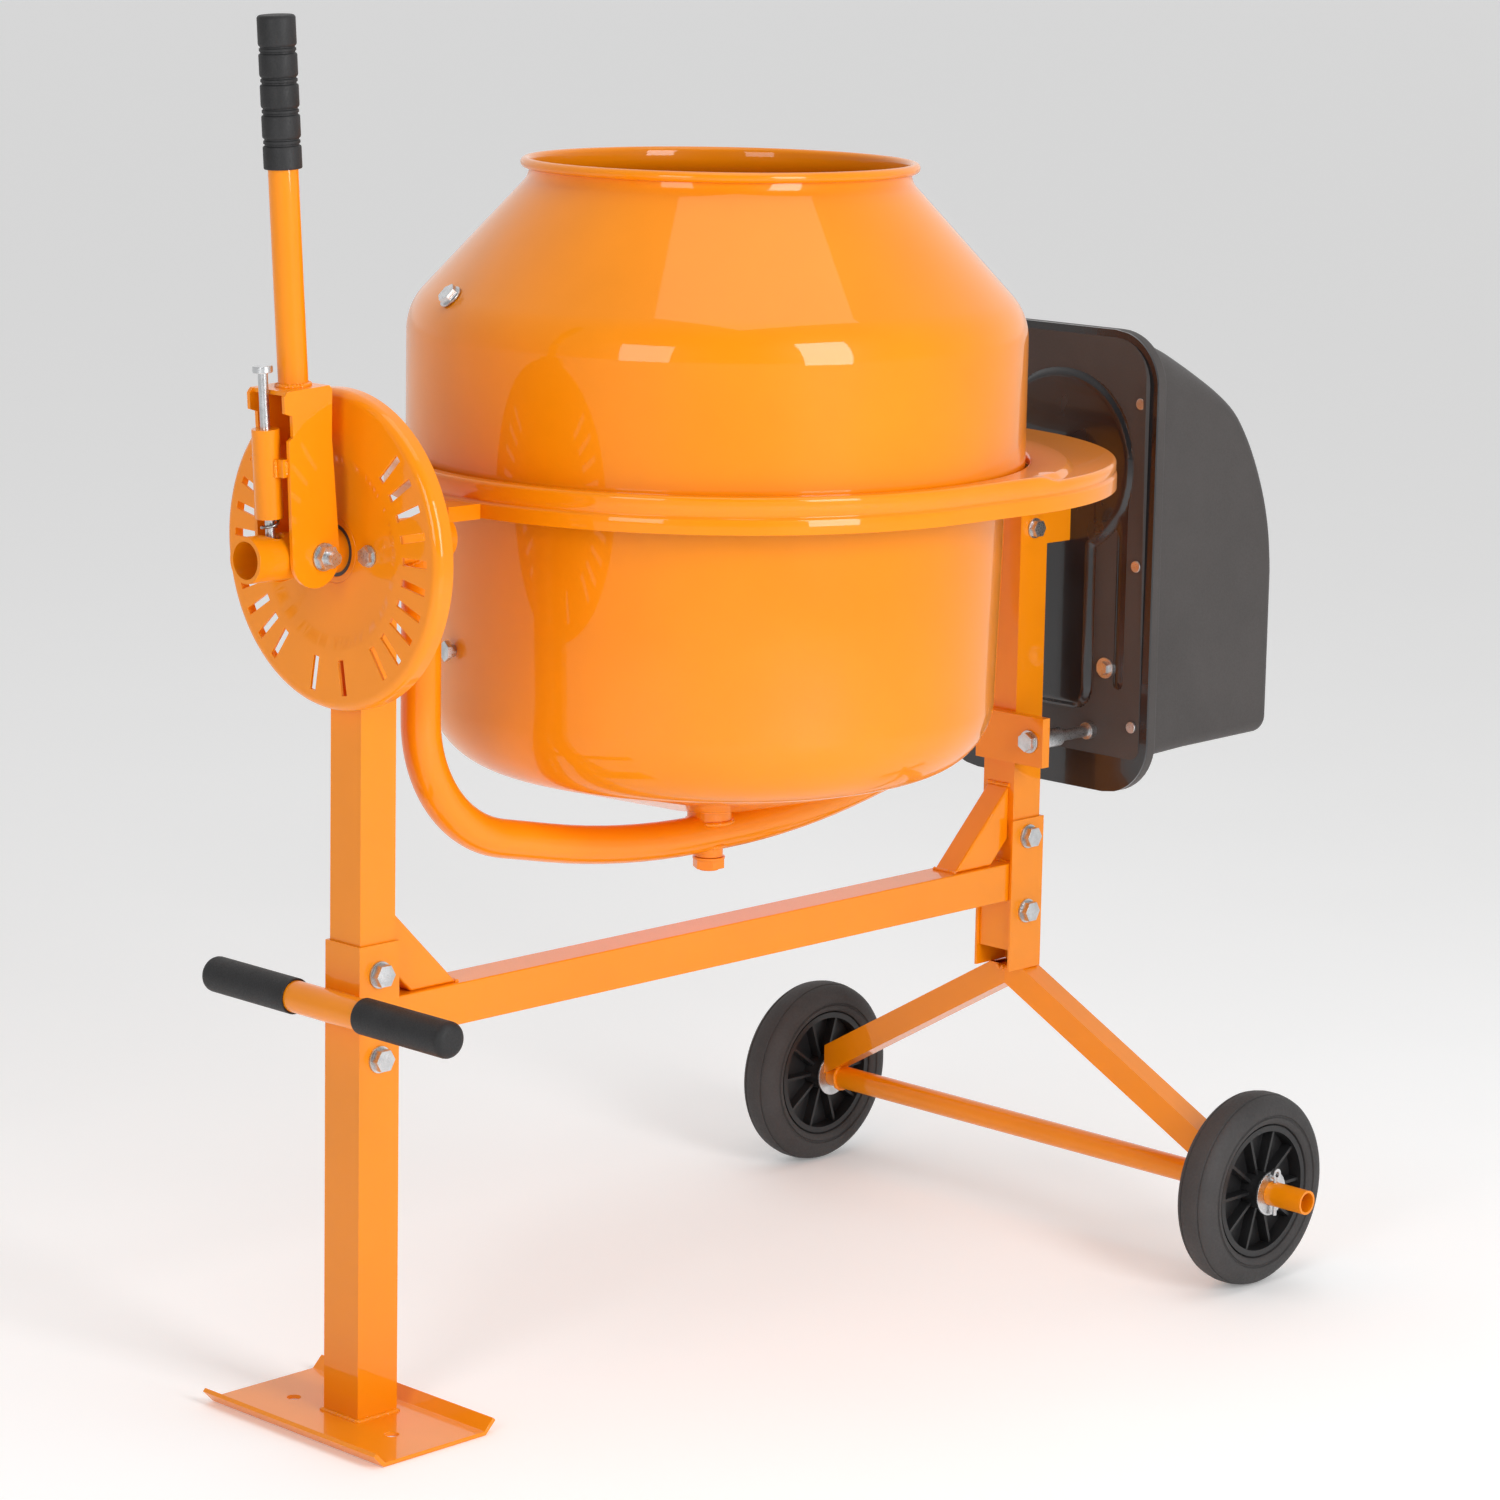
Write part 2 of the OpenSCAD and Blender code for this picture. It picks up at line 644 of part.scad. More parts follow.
// Pinion: straight teeth, one pointing up between two teeth of the ring gear
module pinion_gear() color("gray") from_drum() translate([pinion_x0, 0, tilt_z]) {
    pitch_r = pinion_teeth * tooth_m / 2;
    root_r = pitch_r - 5.5;
    difference() {
        union() {
            rod_x(root_r, 0, pinion_x1 - pinion_x0);
            rod_x(root_r - 3, 0, pinion_x1 - pinion_x0 + 14);
            for (i = [0:pinion_teeth - 1]) rotate([i * 360 / pinion_teeth, 0, 0])
                rotate([90, 0, 90]) linear_extrude(pinion_x1 - pinion_x0)
                    polygon([[-5, root_r - 2], [-4, pitch_r], [-2.2, pitch_r + tooth_h],
                        [2.2, pitch_r + tooth_h], [4, pitch_r], [5, root_r - 2]]);
        }
        rod_x(shaft_r, -1, 100);
    }
}

switch_y = box_mid_y;
switch_z = 640;

module switch_box() color("black") from_drum() translate([cover_end, switch_y, switch_z]) difference() {
    block([0, -32, -40], [14, 32, 40]);
    block([5, -13, -19], [20, 13, 19]);
}

// Rocker that tips about its middle
module switch_rocker() color("red") from_drum() translate([cover_end + 11, switch_y, switch_z])
    difference() {
        rod_y(14, -12, 12);
        block([-20, -20, -20], [-3, 20, 20]);
        block([5, -20, -20], [20, 20, 20]);
    }

gland_r = 10;
gland_y = box_mid_y - 60;
gland_z = 560;

module cable_gland() color("black") from_drum() translate([0, gland_y, gland_z])
    difference() {
        union() {
            rod_x(gland_r, cover_end - 10, cover_end + 6);
            rod_x(gland_r + 4, cover_end, cover_end + 5);
            rod_x(gland_r - 2, cover_end + 5, cover_end + 22);
        }
        rod_x(4, cover_end - 20, cover_end + 40);
    }

// ---- yoke ----------------------------------------------------------------

bend_x = yoke_x - yoke_bend;
rise_a = 90 - yoke_a;
bend_end_x = bend_x + yoke_bend * cos(yoke_a);
flat_x = 20;
flat_bend = 957;
slope_x = flat_x + flat_bend * sin(rise_a);
slope_z = yoke_z + flat_bend * (1 - cos(rise_a));
slope_l = (bend_end_x - slope_x) / cos(rise_a);
bend_z = slope_z + slope_l * sin(rise_a) + yoke_bend * sin(yoke_a);

// A bend of a round rod in the XZ plane, about the origin, from angle a0 over turn
module rod_bend(r, bend, a0, turn) {
    rotate([90, 0, 0]) rotate([0, 0, a0]) rotate_extrude(angle = turn) translate([bend, 0]) circle(r);
}

// The bends run bend_step inside the straight lengths, which reach a little way over them
bend_step = 0.3;
bend_lap = 3;

// Half of the bent tube: arm, bend, rising part and gentle bend
module yoke_half(r) {
    translate([yoke_x, 0, bend_z - bend_lap]) cylinder(r = r, h = tilt_z - bend_z + bend_lap);
    translate([bend_x, 0, bend_z]) rod_bend(r - bend_step, yoke_bend, -yoke_a, yoke_a);
    translate([slope_x, 0, slope_z]) rotate([0, 90 - rise_a, 0])
        translate([0, 0, -bend_lap]) cylinder(r = r, h = slope_l + 2 * bend_lap);
    translate([flat_x, 0, yoke_z + flat_bend]) rod_bend(r - bend_step, flat_bend, -90, rise_a);
}

module yoke_rod(r) {
    yoke_half(r);
    rotate([0, 0, 180]) yoke_half(r);
    translate([0, 0, yoke_z]) rod_x(r, -flat_x - bend_lap, flat_x + bend_lap);
}

housing_r = 14;
housing_bore = 11;
housing_z0 = 467;
housing_z1 = 518;

module yoke_tube() color("orange") from_drum() difference() {
    yoke_rod(yoke_r);
    yoke_rod(yoke_r - tube_t);
    translate([0, 0, tilt_z]) rod_x(pivot_r, -500, 500);
    rod_z(housing_r, 400, 600);
}

module left_pivot_tube() color("orange") from_drum() translate([0, 0, tilt_z]) difference() {
    ring_x(pivot_r, pivot_r - 4, -586, -354);
    translate([pivot_x, 0, 0]) rod_y(bolt_r + 0.2, -50, 50);
    translate([pivot_x + spring_u, 0, 0]) rod_z(11, 0, 40);
}

module right_pivot_tube() color("orange") from_drum() translate([0, 0, tilt_z])
    ring_x(pivot_r, pivot_r - 4, 334, plate_x + 8);

bearing_x = [338, plate_x - 8];

module shaft_bearings() color("silver") from_drum() translate([0, 0, tilt_z]) for (x = bearing_x)
    ring_x(pivot_r - 4, shaft_r + fit, x, x + 12);

module spindle_housing() color("orange") from_drum() {
    ring_z(housing_r, housing_bore, housing_z0, housing_z1);
    difference() {
        ring_z(22, housing_r, yoke_z + 10, housing_z1);
        translate([0, 0, yoke_z]) rod_x(yoke_r, -60, 60);
    }
}

module spindle_bushes() color("goldenrod") from_drum() {
    ring_z(housing_bore, shaft_r + fit, housing_z1 - 20, housing_z1);
    ring_z(housing_bore, shaft_r + fit, housing_z0, housing_z0 + 20);
}

// Outline of the guard, shrunk by inset
module guard_outline(inset) {
    r = guard_r - inset;
    circle(r, $fn = 128);
    translate([guard_shift, 0]) circle(r, $fn = 128);
    translate([0, -r]) square([guard_shift, 2 * r]);
}

hole_r = drum_d / 2 + 4;
plateau_r = 343;
step_h = 6;
seam_drop = 17;

module guard_slab(inset, z0, z1) {
    translate([0, 0, z0]) linear_extrude(z1 - z0) guard_outline(inset);
}

// Pressed guard: two skirts with a seam, a raised round about the drum
module gear_guard() color("orange") from_drum() difference() {
    union() {
        intersection() {
            guard_slab(0.01, guard_top - step_h, guard_top);
            rod_z(plateau_r, guard_top - step_h, guard_top);
        }
        guard_slab(0, guard_top - seam_drop, guard_top - step_h + 0.01);
        guard_slab(1.2, guard_top - seam_drop - 2, guard_top - seam_drop);
        guard_slab(-1, guard_low, guard_top - seam_drop - 2);
    }
    intersection() {
        guard_slab(guard_t + 1, guard_low - 1, guard_top - guard_t);
        rod_z(plateau_r - guard_t, guard_low - 1, guard_top - guard_t);
    }
    guard_slab(guard_t + 1, guard_low - 1, guard_top - step_h - guard_t);
    rod_z(hole_r, guard_low - 1, guard_top + 1);
    translate([0, 0, tilt_z]) rod_x(pivot_r, 400, 440);
    for (y = [-12, 12]) translate([guard_bolt_x, y, 0]) rod_z(3, guard_low, guard_top + 1);
}

guard_bolt_x = 402;
guard_under = guard_top - step_h - guard_t;

// Saddles that carry the guard on both pivot tubes, with their screws
module guard_brackets() color("orange") from_drum() {
    difference() {
        block([guard_bolt_x - 7, -20, tilt_z], [guard_bolt_x + 7, 20, guard_under]);
        translate([0, 0, tilt_z]) rod_x(pivot_r, 0, 500);
        block([300, -60, tilt_z - 1], [500, 60, tilt_z + 12]);
        for (y = [-12, 12]) translate([guard_bolt_x, y, 0]) rod_z(3, guard_under - 6, guard_top);
    }
    for (y = [-12, 12]) translate([guard_bolt_x, y, 0]) {
        rod_z(3, guard_under - 6, guard_under + guard_t);
        rod_z(5.5, guard_under + guard_t, guard_under + guard_t + 3.5);
    }
    difference() {
        block([-guard_r - 40, -15, tilt_z + 12], [-guard_r + 8, 15, guard_low + 14]);
        translate([0, 0, tilt_z]) rod_x(pivot_r, -500, 0);
        rod_z(guard_r + 1, 0, 2000);
    }
}

// ---- drum ----------------------------------------------------------------

// Wall lines of the two halves, moved inwards by d
function upper_line(d) = concat(
    [[drum_d / 2 - d, seam_z]],
    arc(drum_d / 2 - shoulder_r, shoulder_z, shoulder_r - d, 0, cone_a, 10),
    [[neck_r - d, neck_z - d * tan(cone_a / 2)], [neck_r - d, mouth_z - 6]]);

corner_x = foot_r - corner_r;
corner_z = base_z + (corner_x + corner_r * sin(base_a) - base_r) * tan(base_a) + corner_r * cos(base_a);

function lower_line(d) = concat(
    [[0, base_z + d], [base_r, base_z + d]],
    arc(corner_x, corner_z, corner_r - d, base_a - 90, 0, 12),
    [[lower_r - d, seam_z]]);

// Upper half: inward flange, wall, rounded shoulder, cone, neck and rolled rim
module upper_drum() color("orange") from_drum() difference() {
    union() {
        rotate_extrude($fn = 128) polygon(concat(upper_line(0), backwards(upper_line(drum_wall))));
        ring_z(drum_d / 2 - 1, lower_r + 1, seam_z, seam_z + drum_wall);
        rotate_extrude($fn = 128) translate([mouth_d / 2 - 5, mouth_z - 5]) circle(5, $fn = 32);
    }
    drum_bolt_holes();
    for (a = blade_a) rotate([0, 0, a]) translate([blade_top[0], 0, blade_top[1]])
        rotate([0, 90 - cone_a, 0]) rod_z(bolt_r + 0.2, -20, 20);
}

module lower_drum() color("orange") from_drum() difference() {
    union() {
        rotate_extrude($fn = 128) polygon(concat(lower_line(0), backwards(lower_line(drum_wall))));
        ring_z(drum_d / 2 - 3, lower_r - 1, seam_z - drum_wall, seam_z);
    }
    drum_bolt_holes();
    rod_z(shaft_r + 0.2, base_z - 5, base_z + 10);
    for (a = [0:60:300]) rotate([0, 0, a]) translate([hub_bolt_r, 0, 0]) rod_z(4.2, base_z - 5, base_z + 10);
    for (a = blade_a) rotate([0, 0, a]) translate([0, 0, blade_low_z]) rod_x(bolt_r + 0.2, 200, 300);
}

drum_bolts_n = 12;
hub_bolt_r = 40;

module drum_bolt_holes() {
    for (i = [0:drum_bolts_n - 1]) rotate([0, 0, (i + 0.5) * 360 / drum_bolts_n])
        translate([bolt_ring_r, 0, 0]) rod_z(3.2, ring_top - 10, seam_z + 10);
}

// Ring gear in four cast segments, teeth facing down
module ring_gear() color("gray") from_drum() difference() {
    union() {
        ring_z(ring_out, ring_in, pitch_z + 6, ring_top);
        for (i = [0:ring_teeth - 1]) rotate([0, 0, (i + 0.5) * 360 / ring_teeth])
            translate([tooth_in, 0, 0]) rotate([90, 0, 90]) linear_extrude(ring_out - tooth_in - 0.5)
                polygon([[-5.2, pitch_z + 6.5], [-3.8, pitch_z], [-2.4, pitch_z - tooth_h],
                    [2.4, pitch_z - tooth_h], [3.8, pitch_z], [5.2, pitch_z + 6.5]]);
    }
    drum_bolt_holes();
    for (i = [0:3]) rotate([0, 0, i * 90])
        block([ring_in - 10, -0.4, pitch_z], [ring_out + 10, 0.4, ring_top + 1]);
}

blade_a = [163, 343];
blade_top = [283, 1025];
blade_low_z = 690;
blade_t = 5;

module drum_bolts() color("silver") from_drum() {
    for (i = [0:drum_bolts_n - 1]) rotate([0, 0, (i + 0.5) * 360 / drum_bolts_n])
        translate([bolt_ring_r, 0, 0]) {
            rod_z(3, ring_top - 4, seam_z + drum_wall);
            rod_z(5, seam_z + drum_wall, seam_z + drum_wall + 3);
        }
    for (a = [0:60:300]) rotate([0, 0, a]) translate([hub_bolt_r, 0, 0]) {
        rod_z(4, base_z, base_z + 12);
        rod_z(7, base_z + 10, base_z + 15);
    }
    for (a = blade_a) rotate([0, 0, a]) {
        translate([blade_top[0], 0, blade_top[1]]) rotate([0, 90 - cone_a, 0]) {
            rod_z(bolt_r, -10, 6);
            rod_z(bolt_r * 2, 0.4, 2.4);
            translate([0, 0, 2.4]) cylinder(r = bolt_r * 1.7, h = 6, $fn = 6);
        }
        translate([0, 0, blade_low_z]) {
            rod_x(bolt_r, 262, 283);
            translate([283, 0, 0]) rotate([0, 90, 0]) cylinder(r = bolt_r * 1.7, h = 5, $fn = 6);
        }
    }
}

// Two fins on the inner wall, each with a foot bolted through the wall
module mixing_blades() color("gray") from_drum() for (a = blade_a) rotate([0, 0, a]) {
    difference() {
        union() {
            translate([0, bolt_r + 10, 0]) rotate([90, 0, 0]) linear_extrude(blade_t)
                polygon([[190, 600], [262, 640], [268, blade_low_z], [273, 850], [270, 1010],
                    [248, 1040], [215, 990], [205, 800], [180, 660]]);
            block([240, -14, blade_low_z - 16], [foot_r, bolt_r + 10, blade_low_z + 16]);
            block([240, -14, blade_top[1] - 34], [300, bolt_r + 10, blade_top[1] - 4]);
        }
        difference() {
            rod_z(400, 500, 1200);
            rotate_extrude($fn = 128) polygon(concat(lower_line(drum_wall), [[0, seam_z]]));
            rotate_extrude($fn = 128) polygon(concat([[0, seam_z]], upper_line(drum_wall), [[0, mouth_z - 6]]));
        }
        ring_z(400, lower_r - drum_wall - 8, seam_z - 8, seam_z + 12);
        block([150, -40, blade_low_z - 12], [262, bolt_r + 10 - blade_t, blade_low_z + 12]);
        block([150, -40, blade_top[1] - 30], [262, bolt_r + 10 - blade_t, blade_top[1]]);
        translate([0, 0, blade_low_z]) rod_x(bolt_r, 250, 300);
        translate([blade_top[0], 0, blade_top[1]]) rotate([0, 90 - cone_a, 0]) rod_z(bolt_r, -30, 20);
    }
}

// Spindle with its flange inside the drum and a retaining nut under the yoke
module drum_spindle() color("silver") from_drum() difference() {
    union() {
        rod_z(52, base_z + drum_wall, base_z + 10);
        rod_z(shaft_r, housing_z0 - 14, base_z + 20);
        rod_z(17, housing_z1 + 0.5, base_z);
        rod_z(16, housing_z0 - 3, housing_z0 - 0.5);
        translate([0, 0, housing_z0 - 12]) cylinder(r = 16, h = 9, $fn = 6);
    }
    for (a = [0:60:300]) rotate([0, 0, a]) translate([hub_bolt_r, 0, 0]) rod_z(4, base_z, base_z + 30);
}

// ---- handle --------------------------------------------------------------

module handle_pivot_bolt() color("silver") from_drum() translate([pivot_x, 0, tilt_z]) {
    bolt_y(bolt_r, -cheek_y - cheek_t - 0.3, cheek_y + cheek_t + 0.3);
    rod_y(bolt_r, -cheek_y - cheek_t - 18, 0);
}

module at_handle() { translate([pivot_x, 0, tilt_z]) rotate([0, -lean, 0]) children(); }

cheek_front = -36;
cheek_back = 16;
web_s = 92;
cheek_foot = [-8, 27];                 // middle and radius of the cheeks' lower end
cheek_line = [[cheek_foot[0] - cheek_foot[1], 0], [-33, 108], [-28, 111], [-28, 130], [cheek_front, 133],
    [cheek_front, clevis_h - 4], [cheek_front + 4, clevis_h], [cheek_back, clevis_h],
    [cheek_back + 3, clevis_h - 4], [cheek_back, 105], [cheek_foot[0] + cheek_foot[1], 0]];

// Clevis: two cheeks beside the pivot tube, a web towards the disc and a top
module handle_clevis() color("orange") from_drum() at_handle() difference() {
    union() {
        for (side = [0, 1]) mirror([0, side, 0]) translate([0, cheek_y + cheek_t, 0])
            rotate([90, 0, 0]) linear_extrude(cheek_t) {
                translate([cheek_foot[0], 0]) circle(cheek_foot[1]);
                polygon(cheek_line);
            }
        block([cheek_back - cheek_t, -cheek_y, web_s], [cheek_back, cheek_y, clevis_h]);
        block([cheek_front + 4, -cheek_y, clevis_h - cheek_t], [cheek_back, cheek_y, clevis_h]);
    }
    rod_y(bolt_r + 0.08, -60, 60);
}

tube_r = 13.5;
tube_u = -4;
grip_r = 17;
tube_top = handle_len - 4;

module handle_tube() color("orange") from_drum() at_handle() difference() {
    translate([tube_u, 0, 0]) rod_z(tube_r, clevis_h, tube_top);
    translate([tube_u, 0, 0]) rod_z(tube_r - tube_t, clevis_h - 1, tube_top + 1);
}

// Ribbed rubber grip, closed at the top
module handle_grip() color("black") from_drum() at_handle() translate([tube_u, 0, 0]) {
    bands = 5;
    z0 = handle_len - grip_len;
    step = grip_len / bands;
    rotate_extrude() polygon(concat(
        [[tube_r, z0], [grip_r, z0]],
        [for (i = [1:bands - 1]) each [[grip_r, z0 + i * step - 5], [grip_r - 1.5, z0 + i * step - 3],
            [grip_r - 1.5, z0 + i * step + 3], [grip_r, z0 + i * step + 5]]],
        [[grip_r, handle_len - 3], [grip_r - 3, handle_len], [0, handle_len]],
        [[0, tube_top], [tube_r, tube_top]]));
}

// Flat tongue that drops into a slot of the disc
module lock_tongue() color("orange") from_drum() at_handle() {
    tip = disc_x - pivot_x - 1.5 + tongue_s * sin(lean);
    block([cheek_back, -2.5, tongue_s - 12], [tip, 2.5, tongue_s + 12]);
}

sleeve_s0 = 38;
sleeve_s1 = 118;
spring_sleeve_r = 12.5;

// Tube welded to the clevis that holds the spring and guides its bolt
module spring_sleeve() color("orange") from_drum() at_handle() difference() {
    union() {
        translate([spring_u, 0, 0]) rod_z(spring_sleeve_r, sleeve_s0, sleeve_s1);
        block([spring_u, -cheek_y, 76], [spring_u + 8, cheek_y, 92]);
    }
    translate([spring_u, 0, 0]) rod_z(10, sleeve_s0 - 1, sleeve_s1 - 5);
    translate([spring_u, 0, 0]) rod_z(4.5, sleeve_s0, sleeve_s1 + 1);
}

module spring_bolt() color("silver") from_drum() at_handle() translate([spring_u, 0, 0]) {
    rod_z(4.4, 14, 172);
    rod_z(9, 168, 174);
}

spring_turns = 11;
spring_s0 = 26;
spring_s1 = 108;

// Coil spring as a stack of rings around its bolt
module handle_spring() color("silver") from_drum() at_handle() translate([spring_u, 0, 0])
    for (i = [0:spring_turns - 1])
        translate([0, 0, spring_s0 + i * (spring_s1 - spring_s0) / (spring_turns - 1)])
            rotate_extrude($fn = 32) translate([7.6, 0]) circle(1.3, $fn = 16);

foot_plate();
front_leg();
left_upright();
right_upright();
cross_beam();
beam_braces();
bearing_sleeves();
pivot_bushes();
lock_disc();
frame_bolts();
lift_bar();
lift_grips();
wheel_bracket();
near_wheel_leg();
far_wheel_leg();
axle_tube();
axle_washers();
cotter_pins();
near_tyre();
near_hub();
far_tyre();
far_hub();
stay_bracket();
stay_bolt();
motor_bracket();
motor_back_plate();
motor_cover();
cover_screws();
motor();
motor_shaft();
motor_pulley();
drive_belt();
large_pulley();
pinion_shaft();
pinion_gear();
switch_box();
switch_rocker();
cable_gland();
yoke_tube();
left_pivot_tube();
right_pivot_tube();
shaft_bearings();
spindle_housing();
spindle_bushes();
gear_guard();
guard_brackets();
lower_drum();
upper_drum();
ring_gear();
drum_bolts();
mixing_blades();
drum_spindle();
handle_pivot_bolt();
handle_clevis();
handle_tube();
handle_grip();
lock_tongue();
spring_sleeve();
spring_bolt();
handle_spring();
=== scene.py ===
"""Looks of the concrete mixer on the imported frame: materials, welds, springs, pressed steel and mouldings."""
import json
import math
import random

import bmesh
import bpy
from mathutils import Matrix, Vector


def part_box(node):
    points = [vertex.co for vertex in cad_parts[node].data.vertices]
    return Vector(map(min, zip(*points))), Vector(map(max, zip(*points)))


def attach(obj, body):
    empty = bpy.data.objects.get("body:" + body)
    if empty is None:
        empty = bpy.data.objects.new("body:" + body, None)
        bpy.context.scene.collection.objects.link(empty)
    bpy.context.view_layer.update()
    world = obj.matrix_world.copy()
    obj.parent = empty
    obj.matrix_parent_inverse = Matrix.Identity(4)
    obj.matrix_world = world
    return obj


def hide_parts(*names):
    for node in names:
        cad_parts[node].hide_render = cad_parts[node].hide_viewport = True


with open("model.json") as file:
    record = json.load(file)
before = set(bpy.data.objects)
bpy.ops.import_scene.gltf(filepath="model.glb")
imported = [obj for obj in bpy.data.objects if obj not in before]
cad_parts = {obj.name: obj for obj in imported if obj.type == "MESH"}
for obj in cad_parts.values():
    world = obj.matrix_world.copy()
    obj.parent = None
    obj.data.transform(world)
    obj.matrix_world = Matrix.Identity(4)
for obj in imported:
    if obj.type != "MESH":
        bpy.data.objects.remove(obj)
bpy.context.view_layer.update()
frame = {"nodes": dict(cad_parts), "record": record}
NODES = frame["nodes"]
random.seed(7)

X, Y, Z = Vector((1, 0, 0)), Vector((0, 1, 0)), Vector((0, 0, 1))
MM = 0.001


# ---- node materials --------------------------------------------------------

def new_material(name):
    """An empty node material with its shader and a coordinate source."""
    mat = bpy.data.materials.new(name)
    mat.use_nodes = True
    tree = mat.node_tree
    shader = tree.nodes["Principled BSDF"]
    coords = tree.nodes.new("ShaderNodeTexCoord")
    return mat, tree, shader, coords.outputs["Object"]


def noise(tree, coords, scale, detail=3.0, roughness=0.5, stretch=(1, 1, 1)):
    """Noise of so many cells per metre, stretched along the axes."""
    mapping = tree.nodes.new("ShaderNodeMapping")
    mapping.inputs["Scale"].default_value = stretch
    tree.links.new(coords, mapping.inputs["Vector"])
    node = tree.nodes.new("ShaderNodeTexNoise")
    node.inputs["Scale"].default_value = scale
    node.inputs["Detail"].default_value = detail
    node.inputs["Roughness"].default_value = roughness
    tree.links.new(mapping.outputs["Vector"], node.inputs["Vector"])
    return node.outputs["Fac"]


def ramp(tree, factor, stops):
    """Colours at stops along a factor."""
    node = tree.nodes.new("ShaderNodeValToRGB")
    elements = node.color_ramp.elements
    while len(elements) < len(stops):
        elements.new(0.5)
    for element, (place, colour) in zip(elements, stops):
        element.position = place
        element.color = (*colour, 1.0)
    tree.links.new(factor, node.inputs["Fac"])
    return node.outputs["Color"]


def span(tree, factor, low, high):
    """A factor spread from low to high."""
    node = tree.nodes.new("ShaderNodeMapRange")
    node.inputs["From Min"].default_value = 0.3
    node.inputs["From Max"].default_value = 0.7
    node.inputs["To Min"].default_value = low
    node.inputs["To Max"].default_value = high
    tree.links.new(factor, node.inputs["Value"])
    return node.outputs["Result"]


def bump(tree, shader, heights):
    """Stacks bumps: each is a factor, a strength and a depth in metres."""
    normal = None
    for factor, strength, distance in heights:
        node = tree.nodes.new("ShaderNodeBump")
        node.inputs["Strength"].default_value = strength
        node.inputs["Distance"].default_value = distance
        tree.links.new(factor, node.inputs["Height"])
        if normal is not None:
            tree.links.new(normal, node.inputs["Normal"])
        normal = node.outputs["Normal"]
    tree.links.new(normal, shader.inputs["Normal"])


def shades(colour, spread):
    """A darker and a lighter version of a colour."""
    dark = tuple(c * (1 - spread) for c in colour)
    light = tuple(min(1.0, c * (1 + spread) + 0.002) for c in colour)
    return dark, light


def finish(name, colour, spread, rough, metal=0.0, mottle=6.0, grain=0.0, grain_size=900.0,
           wave=0.0, wave_size=120.0, coat=0.0, stretch=(1, 1, 1), specular=0.5):
    """A surface with mottled colour and roughness, fine grain and a slow waviness."""
    mat, tree, shader, coords = new_material(name)
    broad = noise(tree, coords, mottle, 4.0, 0.55, stretch)
    fine = noise(tree, coords, grain_size, 2.0, 0.6, stretch)
    dark, light = shades(colour, spread)
    tree.links.new(ramp(tree, broad, [(0.3, dark), (0.7, light)]), shader.inputs["Base Color"])
    tree.links.new(span(tree, fine if grain else broad, rough[0], rough[1]), shader.inputs["Roughness"])
    shader.inputs["Metallic"].default_value = metal
    shader.inputs["Specular IOR Level"].default_value = specular
    shader.inputs["Coat Weight"].default_value = coat
    shader.inputs["Coat Roughness"].default_value = 0.03
    heights = []
    if wave:
        heights.append((noise(tree, coords, wave_size, 2.0), wave, 0.0004))
    if grain:
        heights.append((fine, grain, 0.0002))
    if heights:
        bump(tree, shader, heights)
    return mat


ORANGE = (0.93, 0.275, 0.0)

PAINT = finish("orange_enamel", ORANGE, 0.05, (0.34, 0.44), mottle=5.0, wave=0.10, wave_size=260.0,
               coat=0.7, grain=0.05, grain_size=1500.0, specular=0.12)
ZINC = finish("zinc_plate", (0.62, 0.63, 0.64), 0.18, (0.22, 0.42), metal=1.0, mottle=90.0, grain=0.15)
STEEL = finish("bare_steel", (0.42, 0.42, 0.42), 0.15, (0.28, 0.45), metal=1.0, mottle=60.0, grain=0.2)
IRON = finish("cast_iron", (0.13, 0.125, 0.12), 0.25, (0.5, 0.75), metal=0.8, mottle=40.0, grain=0.8,
              grain_size=500.0)
ALLOY = finish("cast_alloy", (0.5, 0.5, 0.51), 0.12, (0.3, 0.5), metal=1.0, mottle=50.0, grain=0.4,
               grain_size=700.0)
BLACK = finish("black_enamel", (0.012, 0.012, 0.014), 0.3, (0.16, 0.3), mottle=12.0, wave=0.25,
               wave_size=90.0, coat=0.5)
COVER = finish("grey_moulding", (0.062, 0.055, 0.053), 0.10, (0.5, 0.66), mottle=9.0, grain=0.7,
               grain_size=650.0)
PLASTIC = finish("black_moulding", (0.014, 0.014, 0.015), 0.2, (0.38, 0.55), mottle=20.0, grain=0.35)
RED = finish("red_moulding", (0.45, 0.01, 0.01), 0.1, (0.2, 0.3), mottle=30.0, wave=0.1)
GRIP = finish("grip_rubber", (0.012, 0.012, 0.013), 0.25, (0.5, 0.7), mottle=35.0, grain=0.6,
              grain_size=700.0)
TYRE = finish("tyre_rubber", (0.045, 0.042, 0.042), 0.18, (0.62, 0.8), mottle=14.0, grain=0.8,
              grain_size=420.0)
BELT = finish("belt_rubber", (0.02, 0.02, 0.02), 0.2, (0.6, 0.8), mottle=30.0, grain=0.5)
CASING = finish("motor_enamel", (0.12, 0.13, 0.14), 0.1, (0.35, 0.5), mottle=20.0, wave=0.3)
NYLON = finish("bush_nylon", (0.05, 0.05, 0.05), 0.1, (0.4, 0.5), mottle=40.0, grain=0.3)
BRONZE = finish("bush_bronze", (0.5, 0.3, 0.1), 0.15, (0.3, 0.45), metal=1.0, mottle=60.0, grain=0.3)

SLOT_FINISH = {
    "orange_paint": PAINT, "zinc_steel": ZINC, "bare_steel": STEEL, "cast_iron": IRON,
    "pulley_alloy": ALLOY, "black_paint": BLACK, "grey_plastic": COVER, "black_plastic": PLASTIC,
    "red_plastic": RED, "grip_rubber": GRIP, "tyre_rubber": TYRE, "belt_rubber": BELT,
    "motor_casing": CASING, "bush_nylon": NYLON, "bush_bronze": BRONZE,
}

